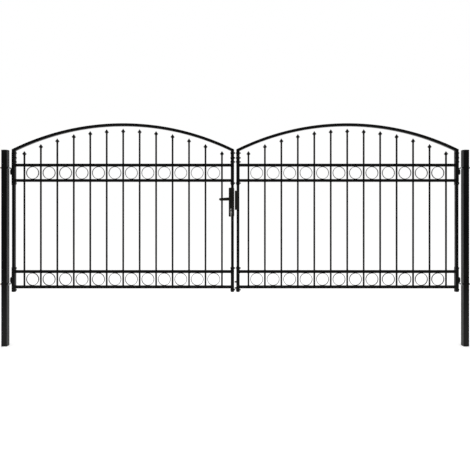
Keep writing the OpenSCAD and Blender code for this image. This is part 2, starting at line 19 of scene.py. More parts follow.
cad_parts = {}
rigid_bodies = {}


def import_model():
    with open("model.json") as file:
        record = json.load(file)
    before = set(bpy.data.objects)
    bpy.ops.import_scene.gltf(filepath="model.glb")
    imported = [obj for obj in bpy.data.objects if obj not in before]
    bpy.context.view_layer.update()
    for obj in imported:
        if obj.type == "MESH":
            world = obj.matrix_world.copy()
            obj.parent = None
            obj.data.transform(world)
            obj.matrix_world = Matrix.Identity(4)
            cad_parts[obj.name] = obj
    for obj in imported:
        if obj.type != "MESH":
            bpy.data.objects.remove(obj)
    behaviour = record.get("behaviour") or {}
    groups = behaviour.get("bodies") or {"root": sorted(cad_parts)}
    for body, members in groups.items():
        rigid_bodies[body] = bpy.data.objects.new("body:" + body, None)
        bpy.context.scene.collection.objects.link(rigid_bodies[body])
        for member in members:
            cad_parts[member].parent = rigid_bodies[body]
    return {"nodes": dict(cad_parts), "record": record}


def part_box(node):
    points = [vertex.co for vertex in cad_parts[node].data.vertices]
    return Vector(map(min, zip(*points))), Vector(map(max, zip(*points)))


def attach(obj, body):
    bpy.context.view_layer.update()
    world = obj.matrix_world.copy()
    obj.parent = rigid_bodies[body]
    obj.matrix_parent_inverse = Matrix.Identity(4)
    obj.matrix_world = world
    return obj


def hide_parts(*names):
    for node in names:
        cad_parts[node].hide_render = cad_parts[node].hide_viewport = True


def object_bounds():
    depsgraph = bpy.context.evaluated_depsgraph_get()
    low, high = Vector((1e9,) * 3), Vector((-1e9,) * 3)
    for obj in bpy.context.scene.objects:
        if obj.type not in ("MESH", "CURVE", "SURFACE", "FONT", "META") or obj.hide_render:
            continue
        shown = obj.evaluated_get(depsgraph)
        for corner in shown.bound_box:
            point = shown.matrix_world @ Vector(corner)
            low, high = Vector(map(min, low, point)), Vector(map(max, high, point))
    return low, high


for start_object in list(bpy.data.objects):
    bpy.data.objects.remove(start_object)
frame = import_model()
CAD_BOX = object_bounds()

MM = 0.001
FULL_TURN = 2.0 * math.pi
# Turns between two faces: below the first they make one flat, above the second their edge is rounded
FLAT_LIMIT_DEG = 0.3
EDGE_LIMIT_DEG = 40.0
# Weight of large faces in the normals of rounded solids, from 1 to 100
FLAT_WEIGHT = 100
# Distance within which two points are one
SAME_PLACE = 0.001 * MM
# Angles above which an edge stays sharp, on turned pieces, on threaded bolts and on weld beads
SHARP_DEG = 35.0
BOLT_SHARP_DEG = 50.0
SEAM_SHARP_DEG = 60.0
# Values of a noise between which a finish goes from its least to its greatest roughness
NOISE_SPAN = (0.3, 0.7)
LOG = logging.getLogger("gate")

X_AXIS = Vector((1.0, 0.0, 0.0))
Y_AXIS = Vector((0.0, 1.0, 0.0))
Z_AXIS = Vector((0.0, 0.0, 1.0))

Colour = tuple[float, float, float, float]
Ring = list[Vector]
Flat = list[tuple[float, float]]
Outline = Callable[[float], float]
Feed = bpy.types.NodeSocket | float | Colour | Vector


class Slot(Enum):
    """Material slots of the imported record."""

    COAT = "black_powder_coat"
    ZINC = "zinc_plated_steel"
    NICKEL = "nickel_plated_steel"
    PLASTIC = "black_plastic"


class Side(Enum):
    """Halves of the gate, valued by the way along X from their post to the meeting stile."""

    LEFT = 1.0
    RIGHT = -1.0

    @property
    def prefix(self) -> str:
        """Start of the names of this half's pieces."""
        return self.name.lower()

    @property
    def body(self) -> str:
        """Body that this half's leaf belongs to."""
        return f"{self.prefix}_leaf"


class Face(Enum):
    """Faces of the lock, valued by the way along Y that they look."""

    FRONT = -1.0
    BACK = 1.0

    @property
    def prefix(self) -> str:
        """Start of the names of this face's pieces."""
        return self.name.lower()


# Shader graphs


@dataclass
class Graph:
    """Short-hand for adding shader nodes to a tree.

    Attributes:
        tree: Node tree of a material, a world or a node group.
    """

    tree: bpy.types.NodeTree

    def add(
        self, kind: str, feeds: dict[str | int, Feed] | None = None, **settings: object
    ) -> bpy.types.Node:
        """Adds a node and feeds its inputs.

        Args:
            kind: Node type without its common prefix.
            feeds: Sockets to link or values to set, by input name or index.
            settings: Properties of the node.

        Returns:
            The new node.
        """
        node = self.tree.nodes.new(f"ShaderNode{kind}")
        for name, value in settings.items():
            setattr(node, name, value)
        for key, source in (feeds or {}).items():
            if isinstance(source, bpy.types.NodeSocket):
                self.tree.links.new(source, node.inputs[key])
            else:
                node.inputs[key].default_value = source
        return node

    def math(self, operation: str, *operands: Feed) -> bpy.types.NodeSocket:
        """Adds a math node and returns its result."""
        return self.add("Math", dict(enumerate(operands)), operation=operation).outputs[0]

    def remap(self, value: Feed, low: float, high: float, start: float, end: float) -> bpy.types.NodeSocket:
        """Maps a value from one range to another, clamped.

        Args:
            value: Value to map.
            low: Value that becomes start.
            high: Value that becomes end.
            start: Result at low.
            end: Result at high.

        Returns:
            The mapped value.
        """
        feeds = {"Value": value, "From Min": low, "From Max": high, "To Min": start, "To Max": end}
        return self.add("MapRange", feeds).outputs["Result"]

    def mix(self, share: Feed, first: Feed, second: Feed) -> bpy.types.NodeSocket:
        """Mixes two colours.

        Args:
            share: Share of the second colour.
            first: First colour.
            second: Second colour.

        Returns:
            The mixed colour.
        """
        factor, colour_a, colour_b, colour_out = 0, 6, 7, 2
        feeds = {factor: share, colour_a: first, colour_b: second}
        return self.add("Mix", feeds, data_type="RGBA").outputs[colour_out]

    def noise(self, scale: Feed, detail: float, stretch: Vector | None = None) -> bpy.types.NodeSocket:
        """Adds noise in the piece's own metres.

        Args:
            scale: Grains per metre.
            detail: Octaves of the noise.
            stretch: Factors along the axes, for a grain that runs one way.

        Returns:
            The noise value, from 0 to 1.
        """
        place = self.add("TexCoord").outputs["Object"]
        if stretch is not None:
            place = self.add("Mapping", {"Vector": place, "Scale": stretch}).outputs["Vector"]
        return self.add("TexNoise", {"Vector": place, "Scale": scale, "Detail": detail}).outputs["Fac"]


class Effect:
    """Shader node group that is built once and placed in each material with its own values."""

    name: str = ""
    inputs: dict[str, float] = {}
    outputs: tuple[str, ...] = ()

    def draw(self, graph: Graph, entry: bpy.types.NodeOutputs) -> dict[str, bpy.types.NodeSocket]:
        """Draws the inside of the group.

        Args:
            graph: Graph of the group.
            entry: Sockets that bring the group's inputs.

        Returns:
            The socket that feeds each output.
        """
        raise NotImplementedError

    def tree(self) -> bpy.types.ShaderNodeTree:
        """Builds the group on first use.

        Returns:
            The node group.
        """
        found = bpy.data.node_groups.get(self.name)
        if found is not None:
            return found
        tree = bpy.data.node_groups.new(self.name, "ShaderNodeTree")
        for label, default in self.inputs.items():
            socket = tree.interface.new_socket(label, in_out="INPUT", socket_type="NodeSocketFloat")
            socket.default_value = default
        for label in self.outputs:
            tree.interface.new_socket(label, in_out="OUTPUT", socket_type="NodeSocketFloat")
        entry = tree.nodes.new("NodeGroupInput")
        results = self.draw(Graph(tree), entry.outputs)
        result_node = tree.nodes.new("NodeGroupOutput")
        for label, socket in results.items():
            tree.links.new(socket, result_node.inputs[label])
        return tree

    def place(self, graph: Graph, **values: float) -> bpy.types.NodeOutputs:
        """Places the group in a material.

        Args:
            graph: Graph of the material.
            values: Values of the group's inputs.

        Returns:
            The group's outputs.
        """
        node = graph.add("Group", node_tree=self.tree())
        for label, value in values.items():
            node.inputs[label].default_value = value
        return node.outputs


class OrangePeel(Effect):
    """Soft bumps of a baked coat or a moulded skin, with a slow drift of its tone.

    Attributes:
        fine_factor: Scale of the fine bumps as a multiple of the coarse ones' scale.
        fine_share: Share of the fine bumps in the height.
        drift_factor: Scale of the drift as a multiple of the coarse bumps' scale.
        bump_detail: Octaves of the bumps.
        drift_detail: Octaves of the drift.
    """

    name = "orange_peel"
    inputs = {"Scale": 600.0}
    outputs = ("Height", "Drift")
    fine_factor: float = 3.3
    fine_share: float = 0.3
    drift_factor: float = 0.02
    bump_detail: float = 1.0
    drift_detail: float = 3.0

    def draw(self, graph: Graph, entry: bpy.types.NodeOutputs) -> dict[str, bpy.types.NodeSocket]:
        """Draws two sizes of bumps and one slow drift.

        Args:
            graph: Graph of the group.
            entry: Sockets that bring the group's inputs.

        Returns:
            The sockets of the height and of the drift.
        """
        coarse = graph.noise(entry["Scale"], self.bump_detail)
        fine = graph.noise(graph.math("MULTIPLY", entry["Scale"], self.fine_factor), self.bump_detail)
        coarse_part = graph.math("MULTIPLY", coarse, 1.0 - self.fine_share)
        height = graph.math("ADD", coarse_part, graph.math("MULTIPLY", fine, self.fine_share))
        drift = graph.noise(graph.math("MULTIPLY", entry["Scale"], self.drift_factor), self.drift_detail)
        return {"Height": height, "Drift": drift}


class EdgeRub(Effect):
    """Mask of the edges where the finish is thin or rubbed.

    Attributes:
        turn_span: Cosines of the normal's turn where the rub starts and where it is full.
        break_span: Noise values between which the rub goes from its least share to full.
        least_share: Share of the rub that is left where the noise is low.
        break_detail: Octaves of that noise.
        samples: Rays that look for an edge.
    """

    name = "edge_rub"
    inputs = {"Radius": 1.5 * MM, "Scale": 90.0}
    outputs = ("Mask",)
    turn_span: tuple[float, float] = (0.995, 0.85)
    break_span: tuple[float, float] = (0.42, 0.62)
    least_share: float = 0.15
    break_detail: float = 4.0
    samples: int = 4

    def draw(self, graph: Graph, entry: bpy.types.NodeOutputs) -> dict[str, bpy.types.NodeSocket]:
        """Draws the turn of the normal near an edge, broken up by noise.

        Args:
            graph: Graph of the group.
            entry: Sockets that bring the group's inputs.

        Returns:
            The socket of the mask.
        """
        rounded = graph.add("Bevel", {"Radius": entry["Radius"]}, samples=self.samples).outputs["Normal"]
        plain = graph.add("NewGeometry").outputs["Normal"]
        turn = graph.add("VectorMath", {0: rounded, 1: plain}, operation="DOT_PRODUCT").outputs["Value"]
        edge = graph.remap(turn, *self.turn_span, 0.0, 1.0)
        noise = graph.noise(entry["Scale"], self.break_detail)
        broken = graph.remap(noise, *self.break_span, self.least_share, 1.0)
        return {"Mask": graph.math("MULTIPLY", edge, broken)}


class SettledDust(Effect):
    """Mask of the dust that settles on what looks up.

    Attributes:
        rise_span: Rises of the normal between which the dust goes from none to full.
        patch_span: Noise values between which the dust goes from its least share to full.
        least_share: Share of the dust that is left where the noise is low.
        patch_detail: Octaves of that noise.
    """

    name = "settled_dust"
    inputs = {"Scale": 25.0, "Amount": 0.5}
    outputs = ("Mask",)
    rise_span: tuple[float, float] = (0.2, 1.0)
    patch_span: tuple[float, float] = (0.35, 0.7)
    least_share: float = 0.3
    patch_detail: float = 5.0

    def draw(self, graph: Graph, entry: bpy.types.NodeOutputs) -> dict[str, bpy.types.NodeSocket]:
        """Draws a patchy film that grows with the upward turn of the surface.

        Args:
            graph: Graph of the group.
            entry: Sockets that bring the group's inputs.

        Returns:
            The socket of the mask.
        """
        normal = graph.add("NewGeometry").outputs["Normal"]
        upward = graph.add("SeparateXYZ", {0: normal}).outputs["Z"]
        lies = graph.remap(upward, *self.rise_span, 0.0, 1.0)
        noise = graph.noise(entry["Scale"], self.patch_detail)
        patchy = graph.remap(noise, *self.patch_span, self.least_share, 1.0)
        film = graph.math("MULTIPLY", lies, patchy)
        return {"Mask": graph.math("MULTIPLY", film, entry["Amount"])}


class DrawnGrain(Effect):
    """Fine lines of drawn or brushed metal, along X and Z alike.

    Attributes:
        fineness: Fineness of the noise across the lines as a multiple of that along them.
        line_detail: Octaves of the lines.
        cloud_detail: Octaves of the cloud.
    """

    name = "drawn_grain"
    inputs = {"Scale": 40.0}
    outputs = ("Height", "Cloud")
    fineness: float = 30.0
    line_detail: float = 3.0
    cloud_detail: float = 4.0

    def draw(self, graph: Graph, entry: bpy.types.NodeOutputs) -> dict[str, bpy.types.NodeSocket]:
        """Draws crossed fine lines and a slow cloud.

        Args:
            graph: Graph of the group.
            entry: Sockets that bring the group's inputs.

        Returns:
            The sockets of the height and of the cloud.
        """
        along_x = Vector((1.0, self.fineness, self.fineness))
        along_z = Vector((self.fineness, self.fineness, 1.0))
        lying = graph.noise(entry["Scale"], self.line_detail, along_x)
        upright = graph.noise(entry["Scale"], self.line_detail, along_z)
        cloud = graph.noise(entry["Scale"], self.cloud_detail)
        return {"Height": graph.math("MAXIMUM", lying, upright), "Cloud": cloud}


ORANGE_PEEL = OrangePeel()
EDGE_RUB = EdgeRub()
SETTLED_DUST = SettledDust()
DRAWN_GRAIN = DrawnGrain()


# Finishes


@dataclass(frozen=True)
class Finish:
    """Surface finish that makes one procedural material.

    Attributes:
        name: Name of the material.
        slot: Material slot of the record.
        colour: Main colour, linear.
        drift_colour: Colour at the far end of the slow drift.
        edge_colour: Colour of rubbed edges.
        rub: Strength of the rubbed edges.
        roughness: Least and greatest roughness.
        relief_scale: Bumps or grain lines per metre.
        relief_depth: Height of the bumps or depth of the grain.
        rub_reach: Reach of the rub from an edge.
        dulling: Roughness that full dust adds.
        relief_strength: Strength of the relief in the normals.
    """

    name: str
    slot: Slot
    colour: Colour
    drift_colour: Colour
    edge_colour: Colour
    rub: float
    roughness: tuple[float, float]
    relief_scale: float
    relief_depth: float
    rub_reach: ClassVar[float]
    dulling: ClassVar[float]
    relief_strength: ClassVar[float]

    def paint(self, graph: Graph, surface: bpy.types.Node) -> None:
        """Feeds the surface shader.

        Args:
            graph: Graph of the material.
            surface: Principled shader of the material.
        """
        raise NotImplementedError

    def material(self) -> bpy.types.Material:
        """Builds the material on first use.

        Returns:
            The material.
        """
        found = bpy.data.materials.get(self.name)
        if found is not None:
            return found
        made = bpy.data.materials.new(self.name)
        made.use_nodes = True
        made.diffuse_color = self.colour
        made.node_tree.nodes.clear()
        graph = Graph(made.node_tree)
        surface = graph.add("BsdfPrincipled")
        self.paint(graph, surface)
        graph.add("OutputMaterial", {"Surface": surface.outputs["BSDF"]})
        return made

    def worn_colour(self, graph: Graph, drift: bpy.types.NodeSocket) -> bpy.types.NodeSocket:
        """Drifts the main colour and lays the edge colour over it along rubbed edges.

        Args:
            graph: Graph of the material.
            drift: Slow drift over the surface.

        Returns:
            The colour with rubbed edges.
        """
        drifted = graph.mix(drift, self.colour, self.drift_colour)
        mask = EDGE_RUB.place(graph, Radius=self.rub_reach)["Mask"]
        return graph.mix(graph.math("MULTIPLY", mask, self.rub), drifted, self.edge_colour)

    def feed(
        self,
        graph: Graph,
        surface: bpy.types.Node,
        colour: bpy.types.NodeSocket,
        drift: bpy.types.NodeSocket,
        dust: bpy.types.NodeSocket,
        height: bpy.types.NodeSocket,
    ) -> None:
        """Feeds colour, roughness and relief to the surface shader.

        Args:
            graph: Graph of the material.
            surface: Principled shader of the material.
            colour: Colour of the finish.
            drift: Slow drift that the roughness follows.
            dust: Mask of the dust, which dulls the finish.
            height: Height of the relief.
        """
        rough = graph.remap(drift, *NOISE_SPAN, *self.roughness)
        dull = graph.math("ADD", rough, graph.math("MULTIPLY", dust, self.dulling))
        relief = {"Height": height, "Distance": self.relief_depth, "Strength": self.relief_strength}
        normal = graph.add("Bump", relief).outputs["Normal"]
        for label, result in (("Base Color", colour), ("Roughness", dull), ("Normal", normal)):
            graph.tree.links.new(result, surface.inputs[label])


@dataclass(frozen=True)
class CoatFinish(Finish):
    """Baked powder coat or moulded plastic.

    Attributes:
        specular: Specular level of the shader.
        dust: Amount of settled dust.
        dust_colour: Colour of settled dust.
    """

    specular: float
    dust: float = 0.1
    dust_colour: Colour = (0.06, 0.058, 0.053, 1.0)
    rub_reach: ClassVar[float] = 1.5 * MM
    dulling: ClassVar[float] = 0.3
    relief_strength: ClassVar[float] = 0.6

    def paint(self, graph: Graph, surface: bpy.types.Node) -> None:
        """Feeds drifted, rubbed and dusted colour, roughness and bumps.

        Args:
            graph: Graph of the material.
            surface: Principled shader of the material.
        """
        peel = ORANGE_PEEL.place(graph, Scale=self.relief_scale)
        dust = SETTLED_DUST.place(graph, Amount=self.dust)["Mask"]
        dusty = graph.mix(dust, self.worn_colour(graph, peel["Drift"]), self.dust_colour)
        self.feed(graph, surface, dusty, peel["Drift"], dust, peel["Height"])
        surface.inputs["Specular IOR Level"].default_value = self.specular


@dataclass(frozen=True)
class PlatedFinish(Finish):
    """Zinc or nickel plating on steel.

    Attributes:
        dust: Amount of settled dust, which only dulls the plating.
    """

    dust: float = 0.3
    rub_reach: ClassVar[float] = 0.8 * MM
    dulling: ClassVar[float] = 0.25
    relief_strength: ClassVar[float] = 0.4

    def paint(self, graph: Graph, surface: bpy.types.Node) -> None:
        """Feeds clouded, rubbed colour, roughness and grain.

        Args:
            graph: Graph of the material.
            surface: Principled shader of the material.
        """
        grain = DRAWN_GRAIN.place(graph, Scale=self.relief_scale)
        dust = SETTLED_DUST.place(graph, Amount=self.dust)["Mask"]
        worn = self.worn_colour(graph, grain["Cloud"])
        self.feed(graph, surface, worn, grain["Cloud"], dust, grain["Height"])
        surface.inputs["Metallic"].default_value = 1.0


POWDER_COAT = CoatFinish(
    name="satin_black_powder_coat",
    slot=Slot.COAT,
    colour=(0.0028, 0.0028, 0.0029, 1.0),
    drift_colour=(0.0046, 0.0046, 0.0045, 1.0),
    edge_colour=(0.035, 0.035, 0.036, 1.0),
    rub=0.6,
    roughness=(0.24, 0.36),
    relief_scale=460.0,
    relief_depth=0.08 * MM,
    specular=0.17,
)
PAINTED_FASTENER = CoatFinish(
    name="black_painted_fastener",
    slot=Slot.COAT,
    colour=(0.004, 0.004, 0.0042, 1.0),
    drift_colour=(0.008, 0.0078, 0.0075, 1.0),
    edge_colour=(0.11, 0.11, 0.112, 1.0),
    rub=0.7,
    roughness=(0.3, 0.45),
    relief_scale=1400.0,
    relief_depth=0.03 * MM,
    specular=0.3,
)
LOCK_COAT = CoatFinish(
    name="matt_black_lock_coat",
    slot=Slot.COAT,
    colour=(0.006, 0.0054, 0.0036, 1.0),
    drift_colour=(0.0095, 0.0086, 0.0058, 1.0),
    edge_colour=(0.06, 0.058, 0.05, 1.0),
    rub=0.6,
    roughness=(0.45, 0.6),
    relief_scale=1100.0,
    relief_depth=0.04 * MM,
    specular=0.24,
)
MOULDED_PLASTIC = CoatFinish(
    name="moulded_black_plastic",
    slot=Slot.PLASTIC,
    colour=(0.0035, 0.0035, 0.0035, 1.0),
    drift_colour=(0.006, 0.006, 0.006, 1.0),
    edge_colour=(0.04, 0.04, 0.04, 1.0),
    rub=0.35,
    roughness=(0.5, 0.66),
    relief_scale=2300.0,
    relief_depth=0.05 * MM,
    dust_colour=(0.08, 0.077, 0.07, 1.0),
    dust=0.2,
    specular=0.3,
)
ZINC_PLATE = PlatedFinish(
    name="bright_zinc_plate",
    slot=Slot.ZINC,
    colour=(0.54, 0.56, 0.58, 1.0),
    drift_colour=(0.42, 0.43, 0.42, 1.0),
    edge_colour=(0.72, 0.73, 0.74, 1.0),
    rub=0.6,
    roughness=(0.26, 0.44),
    relief_scale=70.0,
    relief_depth=0.03 * MM,
)
NICKEL_PLATE = PlatedFinish(
    name="satin_nickel_plate",
    slot=Slot.NICKEL,
    colour=(0.68, 0.67, 0.65, 1.0),
    drift_colour=(0.56, 0.555, 0.54, 1.0),
    edge_colour=(0.76, 0.755, 0.74, 1.0),
    rub=0.6,
    roughness=(0.22, 0.36),
    relief_scale=90.0,
    relief_depth=0.02 * MM,
)
NODE_FINISHES = {
    Slot.COAT: POWDER_COAT,
    Slot.ZINC: ZINC_PLATE,
    Slot.NICKEL: NICKEL_PLATE,
    Slot.PLASTIC: MOULDED_PLASTIC,
}


# Meshes


def angles_round(count: int) -> list[float]:
    """Returns angles that divide a full turn evenly."""
    return [FULL_TURN * step / count for step in range(count)]


def circle(radius: float) -> Outline:
    """Returns the outline of a circle, as radius by angle."""
    return lambda angle: radius


def hexagon(width: float, limit: float = math.inf) -> Outline:
    """Makes the outline of a hexagon whose corners may be turned off.

    Args:
        width: Width across the flats.
        limit: Radius that the corners are turned down to.

    Returns:
        The outline, as radius by angle.
    """
    sector = FULL_TURN / 6.0
    return lambda angle: min(limit, 0.5 * width / math.cos(angle % sector - 0.5 * sector))


def slot_hole(length: float, width: float) -> Outline:
    """Makes the outline of a straight slot along the first axis.

    Args:
        length: Length of the slot.
        width: Width of the slot.

    Returns:
        The outline, as radius by angle.
    """
    least = 1e-9
    return lambda angle: min(
        0.5 * length / max(least, abs(math.cos(angle))),
        0.5 * width / max(least, abs(math.sin(angle))),
    )


def thread_outline(crest: float, depth: float, turns: float) -> Outline:
    """Makes the outline of a thread at one place along its rod.

    Args:
        crest: Radius of the crests.
        depth: Depth of the thread.
        turns: Turns of the thread up to that place.

    Returns:
        The outline, as radius by angle.
    """
    return lambda angle: crest - depth * abs(2.0 * ((turns - angle / FULL_TURN) % 1.0) - 1.0)


def placed(origin: Vector, direction: Vector) -> Matrix:
    """Makes the place of a turned shape.

    Args:
        origin: Foot of the shape's axis.
        direction: Way that its axis points.

    Returns:
        The matrix that takes the local z axis to that axis.
    """
    return Matrix.Translation(origin) @ direction.to_track_quat("Z", "Y").to_matrix().to_4x4()


@dataclass
class MeshSketch:
    """Points and faces of one piece, gathered shape by shape.

    Attributes:
        points: Points of all shapes.
        faces: Faces, as indices of points.
    """

    points: list[Vector] = field(default_factory=list)
    faces: list[tuple[int, ...]] = field(default_factory=list)

    def skin(self, rings: Sequence[Ring], loop: bool = False) -> None:
        """Skins rings of equal count, with end caps unless they form a loop.

        Args:
            rings: Rings along the shape, each counter-clockwise seen from ahead.
            loop: Whether the last ring joins the first.
        """
        first = len(self.points)
        count = len(rings[0])
        for ring in rings:
            self.points.extend(ring)
        for index in range(len(rings) if loop else len(rings) - 1):
            near = first + index * count
            far = first + (index + 1) % len(rings) * count
            for step in range(count):
                after = (step + 1) % count
                self.faces.append((near + step, near + after, far + after, far + step))
        if not loop:
            last = len(self.points) - count
            self.faces.append(tuple(reversed(range(first, first + count))))
            self.faces.append(tuple(range(last, last + count)))

    def turn(self, place: Matrix, sections: Iterable[tuple[float, Outline]], sides: int = 24) -> None:
        """Adds a turned or milled shape along an axis.

        Args:
            place: Place of the axis.
            sections: Height and outline of each section, from the foot.
            sides: Points in each section.
        """
        angles = angles_round(sides)
        rings = []
        for height, outline in sections:
            flat = [(outline(a) * math.cos(a), outline(a) * math.sin(a)) for a in angles]
            rings.append([place @ Vector((x, y, height)) for x, y in flat])
        self.skin(rings)

    def plate(self, place: Matrix, rim: Flat, thickness: float, hole: Flat | None = None) -> None:
        """Adds a flat plate, which may have one hole.

        Args:
            place: Place of the plate, whose faces lie along the local x and y axes.
            rim: Outline of the plate, counter-clockwise.
            thickness: Thickness of the plate, half of it at each side of the place.
            hole: Outline of the hole, with as many points as the rim.
        """
        half = 0.5 * thickness
        levels = [(rim, -half), (rim, half)]
        if hole is not None:
            levels.extend([(hole, half), (hole, -half)])
        rings = [[place @ Vector((x, y, z)) for x, y in outline] for outline, z in levels]
        self.skin(rings, loop=hole is not None)

    def piece(
        self, name: str, body: str, finish: Finish, sharp_deg: float = SHARP_DEG
    ) -> bpy.types.Object:
        """Makes the piece, dresses it and lets it ride on a body.

        Args:
            name: Name of the piece.
            body: Body that it moves with.
            finish: Finish of the piece.
            sharp_deg: Angle above which an edge stays sharp.

        Returns:
            The new object.
        """
        mesh = bpy.data.meshes.new(name)
        mesh.from_pydata(self.points, [], self.faces)
        mesh.validate()
        mesh.shade_smooth()
        mesh.set_sharp_from_angle(angle=math.radians(sharp_deg))
        mesh.materials.append(finish.material())
        made = bpy.data.objects.new(name, mesh)
        bpy.context.scene.collection.objects.link(made)
        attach(made, body)
        LOG.info("%s: %d faces on %s", name, len(mesh.polygons), body)
        return made


@dataclass(frozen=True)
class WeldBead:
    """Rippled weld bead along a joint, partly sunk in the pieces that it joins.

    Attributes:
        radius: Radius of the bead.
        ripple_share: Swell of each ripple as a share of the radius.
        ripple_pitch: Distance from ripple to ripple.
        sides: Points round the bead.
        steps_per_ripple: Points along each ripple.
        end_power: Power of the fall towards the ends of an open bead; a high one keeps it near them.
        end_least: Least value under the root of that fall, which keeps the ends from a point.
    """

    radius: float = 2.0 * MM
    ripple_share: float = 0.16
    ripple_pitch: float = 2.4 * MM
    sides: int = 6
    steps_per_ripple: int = 3
    end_power: int = 6
    end_least: float = 0.08

    def points_along(self, path: Sequence[Vector], loop: bool) -> list[Vector]:
        """Spaces points evenly along a path.

        Args:
            path: Corners of the path.
            loop: Whether the path closes.

        Returns:
            Points a fraction of a ripple apart.
        """
        corners = [*path, path[0]] if loop else list(path)
        spaced = []
        for start, end in zip(corners, corners[1:]):
            length = (end - start).length
            count = max(2, round(length * self.steps_per_ripple / self.ripple_pitch))
            spaced.extend(start.lerp(end, step / count) for step in range(count))
        return spaced if loop else [*spaced, corners[-1]]

    def lay(self, sketch: MeshSketch, path: Sequence[Vector], up: Vector, loop: bool = False) -> None:
        """Lays a bead along a path.

        Args:
            sketch: Mesh that gains the bead.
            path: Corners of the path.
            up: Way across the path, never along it.
            loop: Whether the path closes.
        """
        spots = self.points_along(path, loop)
        last = len(spots) - 1
        angles = angles_round(self.sides)
        rings = []
        for index, spot in enumerate(spots):
            before = spots[index - 1] if loop or index > 0 else spot
            after = spots[(index + 1) % len(spots)] if loop or index < last else spot
            ahead = (after - before).normalized()
            across = up.cross(ahead).normalized()
            over = ahead.cross(across)
            phase = FULL_TURN * index / self.steps_per_ripple
            size = self.radius * (1.0 + self.ripple_share * math.sin(phase))
            if not loop:
                place = 2.0 * index / last - 1.0
                size *= math.sqrt(max(self.end_least, 1.0 - place**self.end_power))
            rings.append([spot + size * (math.cos(a) * across + math.sin(a) * over) for a in angles])
        sketch.skin(rings, loop)


def square_path(centre: Vector, first: Vector, second: Vector) -> list[Vector]:
    """Makes the corners of a rectangle.

    Args:
        centre: Middle of the rectangle.
        first: Half of one side.
        second: Half of the other side.

    Returns:
        The four corners in order.
    """
    signs = ((-1.0, -1.0), (1.0, -1.0), (1.0, 1.0), (-1.0, 1.0))
    return [centre + a * first + b * second for a, b in signs]


def circle_path(centre: Vector, radius: float, count: int = 12) -> list[Vector]:
    """Makes the corners of a level circle.

    Args:
        centre: Middle of the circle.
        radius: Radius of the circle.
        count: Number of corners.

    Returns:
        The corners in order.
    """
    ways = [Vector((math.cos(a), math.sin(a), 0.0)) for a in angles_round(count)]
    return [centre + radius * way for way in ways]


def soften(node: str, width: float, segments: int = 2, limited: bool = False) -> None:
    """Rounds the sharp edges of a CAD node with modifiers, and leaves its mesh as it is.

    Args:
        node: Name of the node.
        width: Width of the rounding.
        segments: Faces across the rounding.
        limited: Whether short edges limit the width, for shapes with finely divided domes or lugs.
    """
    solid = frame["nodes"][node]
    weld = solid.modifiers.new("joined_corners", "WELD")
    weld.merge_threshold = SAME_PLACE
    flats = solid.modifiers.new("joined_flats", "DECIMATE")
    flats.decimate_type = "DISSOLVE"
    flats.angle_limit = math.radians(FLAT_LIMIT_DEG)
    bevel = solid.modifiers.new("rounded_edges", "BEVEL")
    bevel.width = width
    bevel.segments = segments
    bevel.limit_method = "ANGLE"
    bevel.angle_limit = math.radians(EDGE_LIMIT_DEG)
    bevel.use_clamp_overlap = limited
    bevel.loop_slide = False
    bevel.face_strength_mode = "FSTR_ALL"
    normals = solid.modifiers.new("flat_normals", "WEIGHTED_NORMAL")
    normals.mode = "FACE_AREA"
    normals.weight = FLAT_WEIGHT
    normals.use_face_influence = True


def dress(node: str, finish: Finish) -> None:
    """Gives a CAD node its finish.

    Args:
        node: Name of the node.
        finish: Finish of the node.
    """
    mesh = frame["nodes"][node].data
    mesh.materials.clear()
    mesh.materials.append(finish.material())


# Sub-assemblies


